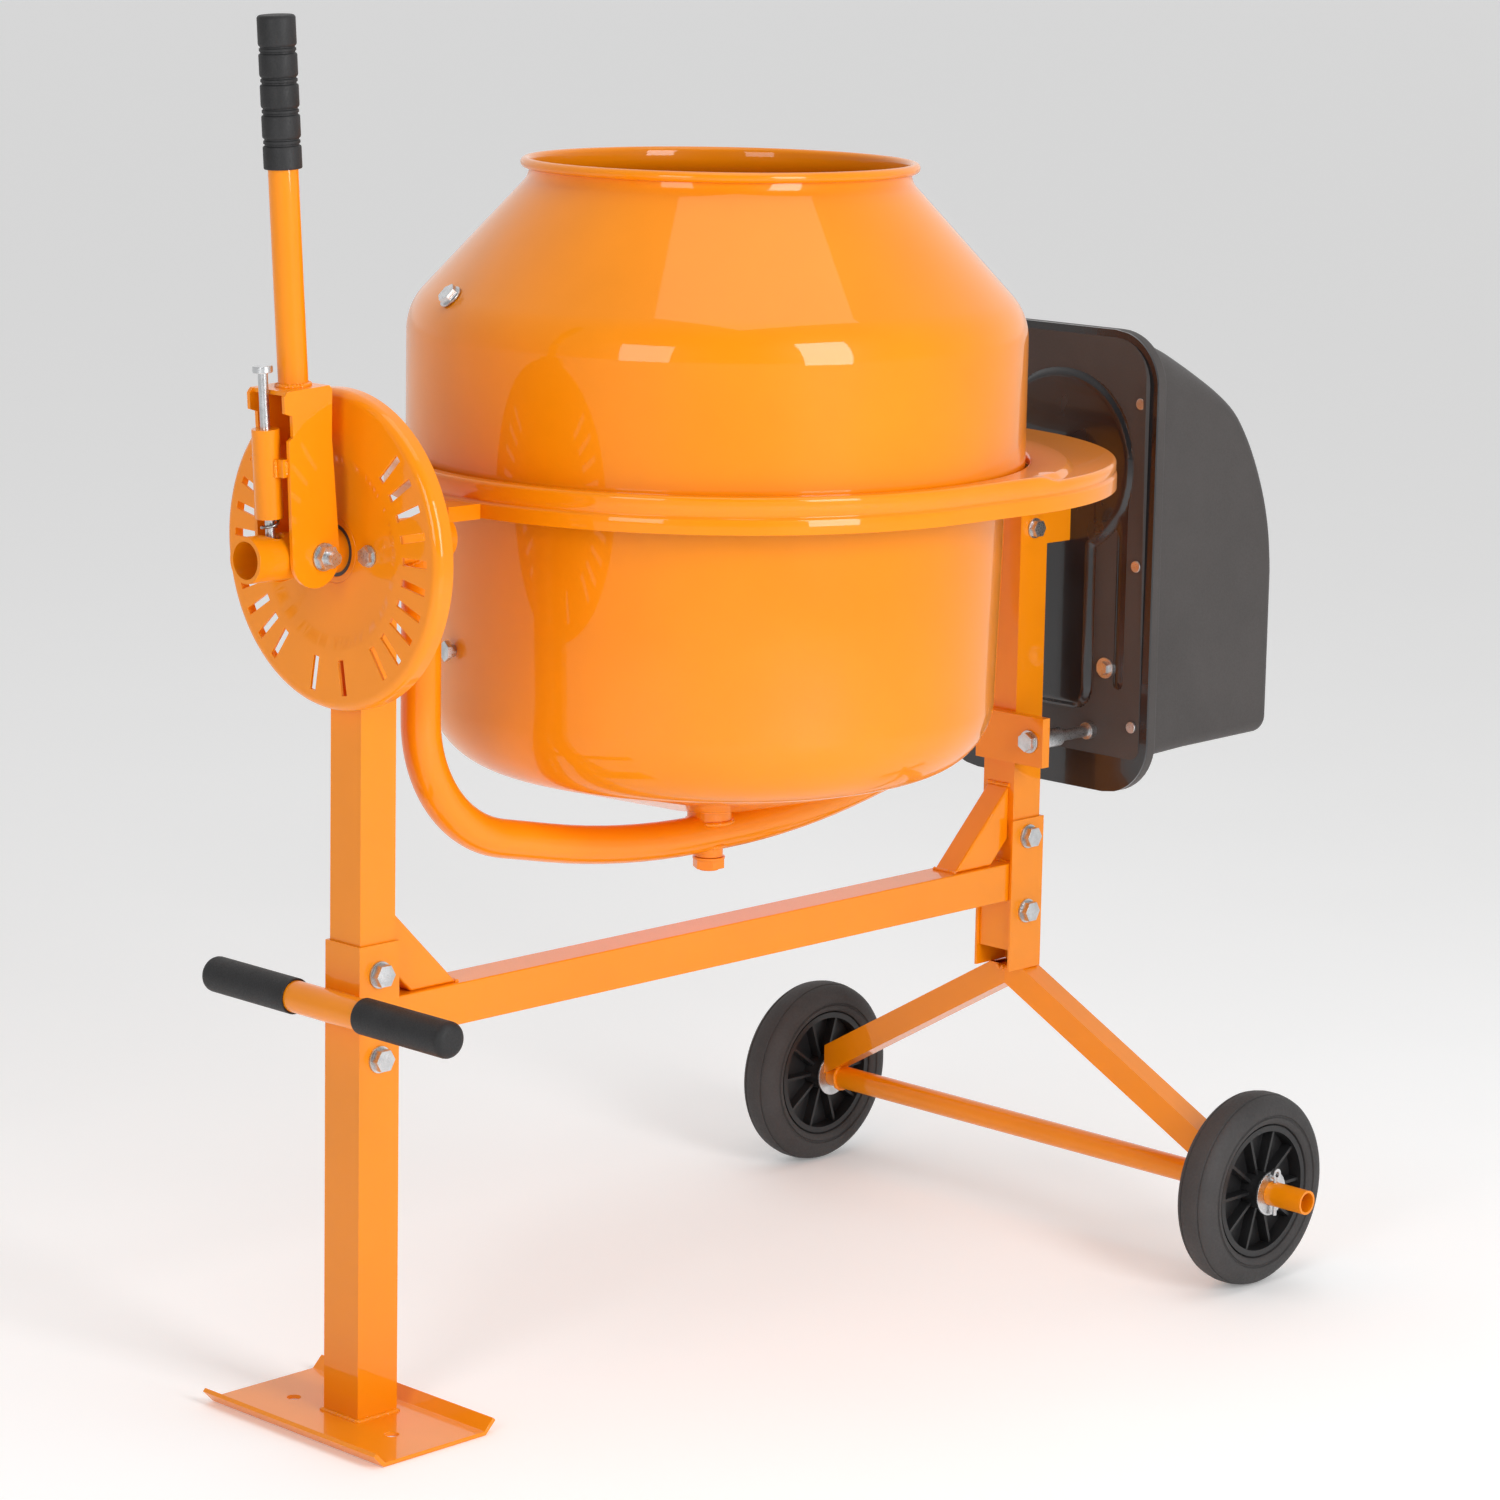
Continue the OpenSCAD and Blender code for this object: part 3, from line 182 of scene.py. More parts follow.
for part in frame["record"]["subparts"]:
    obj = NODES[part["node"]]
    obj.data.materials.clear()
    obj.data.materials.append(SLOT_FINISH[part["material_slot"]])


def middle(node):
    low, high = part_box(node)
    return (low + high) / 2


DRUM = middle("upper_drum")
TILT = middle("pivot_bushes").z / MM


def mm(node):
    """A CAD node's lowest and highest corners in millimetres about the drum axis."""
    low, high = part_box(node)
    shift = Vector((DRUM.x, 0, 0))
    return (low - shift) / MM, (high - shift) / MM


# ---- mesh helpers ------------------------------------------------------------

def place(origin, axis="z"):
    """A matrix that takes +Z to the named axis and moves to origin."""
    turns = {"z": Matrix.Identity(4), "x": Matrix.Rotation(math.pi / 2, 4, "Y"),
             "-x": Matrix.Rotation(-math.pi / 2, 4, "Y"), "y": Matrix.Rotation(-math.pi / 2, 4, "X"),
             "-y": Matrix.Rotation(math.pi / 2, 4, "X"), "-z": Matrix.Rotation(math.pi, 4, "X")}
    return Matrix.Translation(origin) @ turns[axis]


class Shape:
    """Vertices and faces gathered in millimetres about the drum axis, then made into one piece."""

    def __init__(self):
        self.verts, self.faces = [], []

    def add(self, verts, faces, matrix=None):
        base = len(self.verts)
        self.verts += [tuple(matrix @ Vector(v)) for v in verts] if matrix else [tuple(v) for v in verts]
        self.faces += [tuple(i + base for i in face) for face in faces]
        return self

    def lathe(self, profile, matrix, count=48, closed=False):
        """Turns a profile of (radius, height) about +Z of the matrix; zero radii are poles."""
        verts, rings = [], []
        for radius, height in profile:
            if radius < 1e-6:
                rings.append([len(verts)] * count)
                verts.append((0, 0, height))
            else:
                rings.append([len(verts) + i for i in range(count)])
                verts += [(radius * math.cos(2 * math.pi * i / count),
                           radius * math.sin(2 * math.pi * i / count), height) for i in range(count)]
        faces = []
        pairs = list(zip(rings, rings[1:])) + ([(rings[-1], rings[0])] if closed else [])
        for low, high in pairs:
            for i in range(count):
                j = (i + 1) % count
                face = []
                for index in (low[i], low[j], high[j], high[i]):
                    if index not in face:
                        face.append(index)
                if len(face) > 2:
                    faces.append(face)
        return self.add(verts, faces, matrix)

    def sweep(self, path, radius, count=10, closed=False):
        """A round rod along a path; radius is a number or a function of the point's number."""
        points = [Vector(p) for p in path]
        last = len(points) - 1
        size = radius if callable(radius) else lambda i: radius
        side, verts = None, []
        for i, point in enumerate(points):
            ahead = points[(i + 1) % len(points)] if closed or i < last else point
            behind = points[i - 1] if closed or i > 0 else point
            along = (ahead - behind).normalized()
            if side is None:
                side = along.orthogonal().normalized()
            side = (side - along * side.dot(along)).normalized()
            other = along.cross(side)
            for k in range(count):
                a = 2 * math.pi * k / count
                verts.append(point + (side * math.cos(a) + other * math.sin(a)) * size(i))
        faces = []
        for i in range(len(points) if closed else last):
            j = (i + 1) % len(points)
            for k in range(count):
                m = (k + 1) % count
                faces.append((i * count + k, i * count + m, j * count + m, j * count + k))
        if not closed:
            faces.append(tuple(reversed(range(count))))
            faces.append(tuple(last * count + k for k in range(count)))
        return self.add(verts, faces)

    def prism(self, outline, z0, z1, matrix, bevel=0.0):
        """A straight prism on an outline, its top edge chamfered by bevel."""
        n = len(outline)
        centre = Vector((sum(p[0] for p in outline) / n, sum(p[1] for p in outline) / n))
        levels = [(z0, 1.0), (z1 - bevel, 1.0)]
        if bevel:
            reach = max((Vector(p) - centre).length for p in outline)
            levels.append((z1, 1 - bevel * 1.6 / reach))
        verts = []
        for z, scale in levels:
            verts += [(*(centre + (Vector(p) - centre) * scale), z) for p in outline]
        faces = [tuple(reversed(range(n)))]
        for level in range(len(levels) - 1):
            for i in range(n):
                j = (i + 1) % n
                faces.append((level * n + i, level * n + j, (level + 1) * n + j, (level + 1) * n + i))
        faces.append(tuple((len(levels) - 1) * n + i for i in range(n)))
        return self.add(verts, faces, matrix)

    def piece(self, name, body, slot, material, angle=35.0, about=True):
        """Makes the object, in metres in the row frame, riding on its body."""
        mesh = bpy.data.meshes.new(name)
        shift = Vector((DRUM.x, 0, 0)) if about else Vector((0, 0, 0))
        mesh.from_pydata([Vector(v) * MM + shift for v in self.verts], [], self.faces)
        bm = bmesh.new()
        bm.from_mesh(mesh)
        bmesh.ops.recalc_face_normals(bm, faces=bm.faces)
        bm.to_mesh(mesh)
        bm.free()
        mesh.materials.append(material)
        for polygon in mesh.polygons:
            polygon.use_smooth = True
        mesh.set_sharp_from_angle(angle=math.radians(angle))
        obj = bpy.data.objects.new(name, mesh)
        bpy.context.scene.collection.objects.link(obj)
        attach(obj, body)
        return obj


def body_of(node):
    for name, members in frame["record"]["behaviour"]["bodies"].items():
        if node in members:
            return name
    raise ValueError(node)


def slot_of(node):
    return next(p["material_slot"] for p in frame["record"]["subparts"] if p["node"] == node)


def apply_modifiers(obj):
    """Turns the modifiers into mesh."""
    depsgraph = bpy.context.evaluated_depsgraph_get()
    mesh = bpy.data.meshes.new_from_object(obj.evaluated_get(depsgraph))
    obj.modifiers.clear()
    obj.data = mesh


def soften(node, width, segments=3, angle=30.0):
    """Replaces a CAD node by a copy whose sharp edges are rounded to width (mm)."""
    source = NODES[node]
    bm = bmesh.new()
    bm.from_mesh(source.data)
    bmesh.ops.remove_doubles(bm, verts=bm.verts, dist=2e-6)
    bmesh.ops.dissolve_limit(bm, angle_limit=math.radians(0.6), verts=bm.verts, edges=bm.edges)
    mesh = bpy.data.meshes.new(node + "_skin")
    bm.to_mesh(mesh)
    bm.free()
    if "custom_normal" in mesh.attributes:
        mesh.attributes.remove(mesh.attributes["custom_normal"])
    slot = slot_of(node)
    mesh.materials.append(SLOT_FINISH[slot])
    obj = bpy.data.objects.new(node + "_skin", mesh)
    bpy.context.scene.collection.objects.link(obj)
    bevel = obj.modifiers.new("edges", "BEVEL")
    bevel.width = width * MM
    bevel.segments = segments
    bevel.limit_method = "ANGLE"
    bevel.angle_limit = math.radians(angle)
    bevel.use_clamp_overlap = True
    bevel.harden_normals = False
    bpy.context.view_layer.update()
    apply_modifiers(obj)
    for polygon in obj.data.polygons:
        polygon.use_smooth = True
    obj.data.set_sharp_from_angle(angle=math.radians(32))
    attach(obj, body_of(node))
    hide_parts(node)
    return obj

# ---- shapes used by several pieces ---------------------------------------------

def arc(x, z, radius, a0, a1, count=12):
    """Points on an arc, angles in degrees."""
    return [(x + radius * math.cos(math.radians(a0 + (a1 - a0) * i / count)),
             z + radius * math.sin(math.radians(a0 + (a1 - a0) * i / count))) for i in range(count + 1)]


def smooth(t):
    t = max(0.0, min(1.0, t))
    return t * t * (3 - 2 * t)


def spaced(path, step, closed=False):
    """The same path with points every step millimetres."""
    points = [Vector(p) for p in path] + ([Vector(path[0])] if closed else [])
    out = []
    for a, b in zip(points, points[1:]):
        count = max(1, round((b - a).length / step))
        out += [a.lerp(b, i / count) for i in range(count)]
    return out if closed else out + [points[-1]]


def bead(shape, path, radius, closed=False):
    """A weld bead: a rod along the path that swells with every ripple."""
    points = spaced(path, 1.3, closed)
    ripple = [radius * (1 + 0.16 * math.sin(i * 2.1) + random.uniform(-0.07, 0.07))
              for i in range(len(points))]
    wander = [p + Vector([random.uniform(-0.25, 0.25) for _ in range(3)]) for p in points]
    return shape.sweep(wander, lambda i: ripple[i], count=8, closed=closed)


def circle(centre, radius, axis="z", count=48, a0=0, a1=360):
    """Points round a circle that faces along an axis."""
    matrix = place(centre, axis)
    full = abs(a1 - a0) >= 360
    steps = count if full else count + 1
    turns = [math.radians(a0 + (a1 - a0) * i / count) for i in range(steps)]
    return [matrix @ Vector((radius * math.cos(t), radius * math.sin(t), 0)) for t in turns]


def box_ring(x, y, z, half_x, half_y):
    """Corners of a level rectangle."""
    corners = ((-1, -1), (1, -1), (1, 1), (-1, 1))
    return [(x + side_x * half_x, y + side_y * half_y, z) for side_x, side_y in corners]


# ---- drum ------------------------------------------------------------------------

WALL = 2.5
upper_low, upper_high = mm("upper_drum")
lower_low = mm("lower_drum")[0]
DRUM_R = upper_high.x
SEAM = upper_low.z
MOUTH = upper_high.z
CONE = math.radians(42.6)


def upper_side(inset):
    """Wall of the upper half from seam to neck, moved in by inset."""
    shoulder = arc(DRUM_R - 60, SEAM + 128.5, 60 - inset, 0, 42.6, 24)
    neck_r = 184 - inset
    bend = Vector((neck_r, MOUTH - 18 - inset * math.tan(CONE / 2)))
    cone_way = Vector((math.sin(CONE), -math.cos(CONE)))
    start, end = bend + cone_way * 7, bend + Vector((0, 7))
    fillet = [tuple(start.lerp(bend, t).lerp(bend.lerp(end, t), t)) for t in (0, 0.25, 0.5, 0.75, 1)]
    return [(DRUM_R - inset, SEAM)] + shoulder + fillet


def make_upper_drum():
    rim = arc(187, MOUTH - 5, 5, -130, 180, 20)
    outside = upper_side(0)
    inside = list(reversed(upper_side(WALL)))
    flange = [(283, SEAM + WALL), (283, SEAM), (DRUM_R - 1.5, SEAM)]
    profile = [(DRUM_R, SEAM + 1.5)] + outside[1:] + rim + inside[:-1]
    profile += [(DRUM_R - WALL, SEAM + WALL)] + flange
    shape = Shape().lathe(profile, place((0, 0, 0)), 192, closed=True)
    skin = shape.piece("upper_drum_shell", "drum", "orange_paint", PAINT, 40)
    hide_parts("upper_drum")


def make_lower_drum():
    corner_r, foot_r, base_r, base_z = 70, 276, 60, lower_low.z
    slope = math.radians(15)
    cx = foot_r - corner_r
    cz = base_z + (cx + corner_r * math.sin(slope) - base_r) * math.tan(slope) + corner_r * math.cos(slope)

    def side(inset):
        return ([(0, base_z + inset), (base_r - 6, base_z + inset), (base_r + 3, base_z + inset + 0.7)]
                + arc(cx, cz, corner_r - inset, -75, 0, 28) + [(282 - inset, SEAM - WALL - 1)])

    lip = [(283, SEAM - WALL), (DRUM_R - 3, SEAM - WALL), (DRUM_R - 3, SEAM - 0.2), (282 - WALL, SEAM - 0.2)]
    profile = side(0) + lip + list(reversed(side(WALL)))
    shape = Shape().lathe(profile, place((0, 0, 0)), 192)
    skin = shape.piece("lower_drum_shell", "drum", "orange_paint", PAINT, 40)
    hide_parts("lower_drum")


# ---- guard -------------------------------------------------------------------------

def make_guard():
    low, high = mm("gear_guard")
    radius, skirt_low, top = 320.0, low.z, high.z
    shift = high.x - 1 - radius
    step, plateau, hole = 6.0, 343.0, 304.0

    def edge(a):
        """Distance from the drum axis to the guard's edge."""
        c, s = math.cos(a), abs(math.sin(a))
        if c <= 0:
            return radius
        if s > 1e-9 and radius / s * c <= shift:
            return radius / s
        return shift * c + math.sqrt(radius ** 2 - (shift * s) ** 2)

    angles = [math.radians(3 + 1.5 * i) for i in range(237)]
    angles += [math.radians(-2.75 + 0.25 * i) for i in range(23)]
    rings = []
    for a in angles:
        r = edge(a)
        y = r * math.sin(a)
        notch = TILT + math.sqrt(max(0.0, 22 ** 2 - y * y)) if math.cos(a) > 0 and abs(y) < 22 else 0
        base = max(skirt_low, notch)
        rise = smooth((349 - r) / 9)
        edge_top = top - step * (1 - rise)
        seam = top - 19
        at = min(plateau, r - 8)
        row = [(r - 1, base), (r + 1, base + 0.6), (r + 1, seam - 3), (r + 0.6, seam - 1.2)]
        row += [(r - 0.9, seam - 0.3), (r - 1.2, seam + 0.8), (r - 0.9, seam + 1.8), (r, seam + 2.8)]
        row += [(x + r, z + edge_top) for x, z in arc(-4, -4, 4, 0, 90, 6)]
        row += [(at + 4 - 8 * t, edge_top + (top - edge_top) * smooth(t))
                for t in (0, 0.15, 0.3, 0.45, 0.6, 0.75, 0.9, 1)]
        row += [(hole + 4, top), (hole + 1.5, top - 0.5), (hole, top - 2.2), (hole, top - 9)]
        row += [(hole + 1.6, top - 9), (hole + 1.6, top - 3), (hole + 5, top - 2), (at - 5, top - 2)]
        row += [(at + 3, edge_top - 2), (r - 5, edge_top - 2), (r - 2.2, edge_top - 4.5)]
        row += [(r - 2.2, seam - 2), (r - 1.2, base + 0.5)]
        rings.append([(p[0] * math.cos(a), p[0] * math.sin(a), p[1]) for p in row])
    count, depth = len(rings), len(rings[0])
    verts = [v for ring in rings for v in ring]
    faces = [(i * depth + k, ((i + 1) % count) * depth + k, ((i + 1) % count) * depth + (k + 1) % depth,
              i * depth + (k + 1) % depth) for i in range(count) for k in range(depth)]
    skin = Shape().add(verts, faces).piece("gear_guard_shell", "yoke", "orange_paint", PAINT, 50)
    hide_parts("gear_guard")


# ---- yoke --------------------------------------------------------------------------

def make_yoke():
    low, high = mm("yoke_tube")
    r = 18.6
    yoke_x, yoke_z, bend, flat_bend, flat_x = high.x - r, low.z + r, 130, 957, 20
    rise = math.radians(12)
    turn = math.radians(78)
    slope_x, slope_z = flat_x + flat_bend * math.sin(rise), yoke_z + flat_bend * (1 - math.cos(rise))
    bend_x = yoke_x - bend
    length = (bend_x + bend * math.cos(turn) - slope_x) / math.cos(rise)
    bend_z = slope_z + length * math.sin(rise) + bend * math.sin(turn)
    half = [(0, yoke_z), (flat_x, yoke_z)] + arc(flat_x, yoke_z + flat_bend, flat_bend, -90, -78, 8)[1:]
    half += arc(bend_x, bend_z, bend, -78, 0, 26) + [(yoke_x, bend_z + 20), (yoke_x, TILT - 3)]
    path = [(-x, 0, z) for x, z in reversed(half[1:])] + [(x, 0, z) for x, z in half]
    skin = Shape().sweep(path, r, 36).piece("yoke_tube_skin", "yoke", "orange_paint", PAINT, 50)
    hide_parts("yoke_tube")
    welds = Shape()
    for side in (-1, 1):
        ring = []
        for p in circle((side * yoke_x, 0, 0), r + 0.6, count=40):
            ring.append((p.x, p.y, TILT - math.sqrt(max(0.0, 21.4 ** 2 - p.y ** 2))))
        bead(welds, ring, 2.3, closed=True)
    for z in (yoke_z + math.sqrt(r * r - 14 ** 2), yoke_z - math.sqrt(r * r - 14 ** 2)):
        bead(welds, circle((0, 0, z), 14.8 if z < yoke_z else 22.5, count=36), 2.2, closed=True)
    welds.piece("yoke_welds", "yoke", "orange_paint", PAINT, 60)


# ---- motor box -----------------------------------------------------------------------

def rounded(half_y, half_z, radius, mid_y, mid_z, steps=12):
    """A rounded rectangle in the YZ plane."""
    out = []
    for sy, sz, a0 in ((1, 1, 0), (-1, 1, 90), (-1, -1, 180), (1, -1, 270)):
        cy, cz = mid_y + sy * (half_y - radius), mid_z + sz * (half_z - radius)
        out += arc(cy, cz, radius, a0, a0 + 90, steps)
    return out


def band(shape, outlines):
    """Joins outlines of equal length, each a list of points, and closes both ends."""
    count = len(outlines[0])
    verts = [p for line in outlines for p in line]
    faces = [tuple(reversed(range(count)))]
    for level in range(len(outlines) - 1):
        for i in range(count):
            j = (i + 1) % count
            here, above = level * count, (level + 1) * count
            faces.append((here + i, here + j, above + j, above + i))
    faces.append(tuple((len(outlines) - 1) * count + i for i in range(count)))
    return shape.add(verts, faces)


def make_cover():
    low, high = mm("motor_cover")
    mid_y, mid_z = (low.y + high.y) / 2, (low.z + high.z) / 2
    half_y, half_z, face, end = (high.y - low.y) / 2, (high.z - low.z) / 2, low.x, high.x

    def outline(inset, x):
        return [(x, y, z) for y, z in rounded(half_y - inset, half_z - inset, 58 - inset, mid_y, mid_z)]

    shape = Shape()
    rim = [(2.0, 0), (0.4, 0.4), (0, 1.5), (0, 10.5), (0.5, 12.4), (1.8, 13.6), (3.6, 14)]
    band(shape, [outline(inset, face + depth) for inset, depth in rim])

    back = face - 2.5
    knots = [(back, 952), (545, 947.5), (570, 939), (596, 926), (620, 911), (645, 892), (668, 869),
             (690, 840), (708, 808), (723, 772), (733, 735), (end, 695)]
    line = []
    for i in range(len(knots) - 1):
        p = [Vector(knots[max(0, min(len(knots) - 1, i + k))]) for k in (-1, 0, 1, 2)]
        for step in range(4):
            t = step / 4
            square = 2 * p[0] - 5 * p[1] + 4 * p[2] - p[3]
            cube = 3 * p[1] - p[0] - 3 * p[2] + p[3]
            line.append(0.5 * ((2 * p[1]) + (p[2] - p[0]) * t + square * t * t + cube * t ** 3))
    line += [Vector((end, z)) for z in (690, 650, 610, 570)]
    line += [Vector(p) for p in arc(end - 18, 534, 17.9, 0, -85, 10)]
    line += [Vector((600, 514.5)), Vector((back, 511))]
    rows = []
    for i, point in enumerate(line):
        ahead = line[min(i + 1, len(line) - 1)] - line[max(i - 1, 0)]
        inward = Vector((ahead.y, -ahead.x)).normalized()
        r = 13 + 33 * smooth((point.y - 860) / 75)
        row = []
        near = low.y + 10
        far = high.y - 10
        for a in range(9):
            t = math.radians(a * 11.25)
            row.append((point + inward * r * (1 - math.sin(t)), near + r * (1 - math.cos(t))))
        for a in range(8, -1, -1):
            t = math.radians(a * 11.25)
            row.append((point + inward * r * (1 - math.sin(t)), far - r * (1 - math.cos(t))))
        rows.append([(p.x, y, p.y) for p, y in row])
    depth = len(rows[0])
    verts = [v for row in rows for v in row]
    faces = [(i * depth + k, i * depth + k + 1, (i + 1) * depth + k + 1, (i + 1) * depth + k)
             for i in range(len(rows) - 1) for k in range(depth - 1)]
    faces.append(tuple(i * depth for i in range(len(rows))))
    faces.append(tuple(i * depth + depth - 1 for i in reversed(range(len(rows)))))
    faces.append(tuple(list(range(depth)) + [(len(rows) - 1) * depth + k for k in reversed(range(depth))]))
    shape.add(verts, faces)
    skin = shape.piece("motor_cover_shell", "frame", "grey_plastic", COVER, 40)
    polish(skin)
    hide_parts("motor_cover")


def make_back_plate():
    low, high = mm("motor_back_plate")
    y0, y1, z0, z1, face, back = low.y, high.y, low.z, high.z, high.x - 2.5, high.x
    radius, rows, columns = 58.0, 196, 116

    def inset(z):
        gap = max(z0 + radius - z, z - (z1 - radius), 0.0)
        return radius - math.sqrt(max(0.0, radius ** 2 - gap ** 2))

    def depth(y, z):
        """Pressed shape: a keyhole round the shaft and motor, and a shallow stiffening rib on each side."""
        round_part = math.hypot(y, z - TILT) - 96
        slot_y, slot_z = abs(y) - 46, abs(z - 688) - 128
        outside = math.hypot(max(slot_y + 20, 0), max(slot_z + 20, 0))
        slot = outside - 20 + min(max(slot_y + 20, slot_z + 20), 0)
        keyhole = smooth(0.5 - min(round_part, slot) / 9)
        rib_y, rib_z = abs(abs(y - (y0 + y1) / 2) - 104), max(abs(z - 700) - 110, 0)
        rib = smooth(1 - math.hypot(rib_y, rib_z) / 8)
        return 6.0 * keyhole + 1.6 * rib * (1 - keyhole)

    verts, faces = [], []
    for i in range(rows + 1):
        z = z0 + (z1 - z0) * i / rows
        edge = inset(z)
        for k in range(columns + 1):
            y = y0 + edge + (y1 - y0 - 2 * edge) * k / columns
            verts.append((face - depth(y, z), y, z))
    width = columns + 1
    faces += [(i * width + k, i * width + k + 1, (i + 1) * width + k + 1, (i + 1) * width + k)
              for i in range(rows) for k in range(columns)]
    loop = list(range(width)) + [i * width + columns for i in range(1, rows)]
    loop += [rows * width + k for k in reversed(range(width))] + [i * width for i in reversed(range(1, rows))]
    base = len(verts)
    verts += [(back, verts[i][1], verts[i][2]) for i in loop]
    count = len(loop)
    faces += [(loop[i], base + i, base + (i + 1) % count, loop[(i + 1) % count]) for i in range(count)]
    faces.append(tuple(base + i for i in range(count)))
    skin = Shape().add(verts, faces).piece("motor_plate_pressing", "frame", "black_paint", BLACK, 40)
    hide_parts("motor_back_plate")


# ---- handle --------------------------------------------------------------------------

hinge = middle("handle_pivot_bolt")
HINGE = Vector(((hinge.x - DRUM.x) / MM, 0, TILT))
LEAN = math.radians(3.6)
TUBE_U, SPRING_U = -4.0, -38.0


def lever(u, s, y=0.0):
    """A point on the leaning handle: u outwards along X, s up from the hinge bolt."""
    across = u * math.cos(LEAN) - s * math.sin(LEAN)
    up = u * math.sin(LEAN) + s * math.cos(LEAN)
    return HINGE + Vector((across, y, up))


def lever_matrix(u, s):
    return Matrix.Translation(lever(u, s)) @ Matrix.Rotation(-LEAN, 4, "Y")


def make_grip():
    low, high = mm("handle_grip")
    top = (high.z - TILT) / math.cos(LEAN) - 0.6
    length, bands = 134.0, 5
    profile = [(13.6, 0), (16.4, 0), (17, 0.8)]
    pitch = length / bands
    for i in range(bands):
        z = i * pitch
        profile += [(17, z + 2), (17, z + pitch - 8), (16.6, z + pitch - 7), (15.3, z + pitch - 6.4)]
        if i < bands - 1:
            after = z + pitch
            profile += [(15.3, after - 5), (16.3, after - 4.4), (16.3, after - 2.2)]
            profile += [(15.3, after - 1.6), (15.3, after - 0.6), (16.6, after + 0.6)]
    profile = profile[:-2] + arc(14, length - 3, 3, 0, 90, 6) + [(0, length)]
    shape = Shape().lathe(profile, lever_matrix(TUBE_U, top - length), 64)
    skin = shape.piece("handle_grip_rubber", "handle", "grip_rubber", GRIP, 40)
    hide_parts("handle_grip")


def make_spring():
    low, high = mm("handle_spring")
    turns, radius, wire = 11.5, 7.6, 1.3
    s0, s1 = 29.0, 108.0
    path = []
    for i in range(int(turns * 24) + 1):
        a = i / 24
        flat = smooth(min(a, turns - a) / 1.2)
        s = s0 + (s1 - s0) * a / turns
        s = s0 + (s - s0) * flat if a < turns / 2 else s1 - (s1 - s) * flat
        turn = 2 * math.pi * a
        path.append(lever(SPRING_U + radius * math.cos(turn), s, radius * math.sin(turn)))
    skin = Shape().sweep(path, wire, 8).piece("handle_spring_coil", "handle", "bare_steel", STEEL, 60)
    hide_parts("handle_spring")


# ---- wheels --------------------------------------------------------------------------

def make_tyres():
    for side, body in ((-1, "near"), (1, "far")):
        low, high = mm(body + "_tyre")
        centre = (low + high) / 2
        outer, half = (high.z - low.z) / 2, (high.y - low.y) / 2
        edge = [(69.5, -half + 7), (70, -half + 3.4), (71.6, -half + 1.6), (74, -half + 0.8)]
        edge += [(76.2, -half + 0.2), (77, -half + 1.6), (78, -half + 2), (79, -half + 1.6)]
        edge += [(79.8, -half + 0.1), (83, -half)]
        edge += arc(outer - 17, -half + 17, 17, -88, -30, 8)
        tread = [(outer - 1.8, -half + 10), (outer - 2.4, -half + 10.6)]
        tread += [(outer - 2.4, -half + 11.6), (outer - 1.1, -half + 12.2)]
        crown = [(outer - 0.6, -half + 15), (outer, -4), (outer, 0)]
        profile = edge + tread + crown
        profile += [(r, -y) for r, y in reversed(profile[:-1])]
        profile += [(67.9, half - 8), (67.9, -half + 8)]
        shape = Shape().lathe(profile, place(centre, "y"), 120, closed=True)
        skin = shape.piece(body + "_tyre_rubber", body + "_wheel", "tyre_rubber", TYRE, 30)
        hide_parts(body + "_tyre")


def polish(obj):
    """Keeps flat faces flat next to rounded edges."""
    weighted = obj.modifiers.new("normals", "WEIGHTED_NORMAL")
    weighted.keep_sharp = True
    weighted.weight = 80


# ---- welds on the frame -----------------------------------------------------------------

def make_frame_welds():
    shape = Shape()
    leg_low, leg_high = mm("front_leg")
    leg = (leg_low + leg_high) / 2
    half = (leg_high.x - leg_low.x) / 2
    bead(shape, box_ring(leg.x, leg.y, leg_low.z, half + 0.8, half + 0.8), 2.6, closed=True)
    beam_low, beam_high = mm("cross_beam")
    for x in (beam_low.x, beam_high.x):
        under, over = beam_low.z - 0.6, beam_high.z + 0.6
        ring = [(x, -20.6, under), (x, 20.6, under), (x, 20.6, over), (x, -20.6, over)]
        bead(shape, ring, 2.2, closed=True)
    brace_low, brace_high = mm("beam_braces")
    for x, way in ((brace_low.x, 1), (brace_high.x, -1)):
        bead(shape, [(x + way * 0.5, -15, brace_high.z + 0.5), (x + way * 0.5, 15, brace_high.z + 0.5)], 2.2)
        bead(shape, [(x + way * 82.5, -15, brace_low.z + 0.5), (x + way * 82.5, 15, brace_low.z + 0.5)], 2.2)
    bar_low, bar_high = mm("lift_bar")
    bar = (bar_low + bar_high) / 2
    for side in (-1, 1):
        x, z = leg_low.x - 1.5, bar.z + side * 9
        bead(shape, [(x, leg.y - half + 4, z), (x, leg.y + half - 4, z)], 2.4)
    bracket_z = mm("wheel_bracket")[0].z - 0.5
    for y in (-1, 1):
        bead(shape, [(440, y * 3, bracket_z), (478, y * 3, bracket_z)], 2.4)
    axle = middle("axle_tube")
    for side in (-1, 1):
        y = side * 265
        bead(shape, circle(((axle.x - DRUM.x) / MM, y, axle.z / MM), 13.4, "y", 30, 60, 300), 2.2)
    shape.piece("frame_welds", "frame", "orange_paint", PAINT, 60)


def make_handle_welds():
    shape = Shape()
    top = 152.0
    turns = [i * math.pi / 20 for i in range(40)]
    ring = [lever(TUBE_U + 14.2 * math.cos(a), top + 0.6, 14.2 * math.sin(a)) for a in turns]
    bead(shape, ring, 2.4, closed=True)
    for side in (-1, 1):
        bead(shape, [lever(-33.5, 78, side * 21), lever(-33.5, 90, side * 21)], 2.2)
        bead(shape, [lever(SPRING_U - 1, 76, side * 12.8), lever(SPRING_U - 1, 92, side * 12.8)], 2.0)
    shape.piece("handle_welds", "handle", "orange_paint", PAINT, 60)


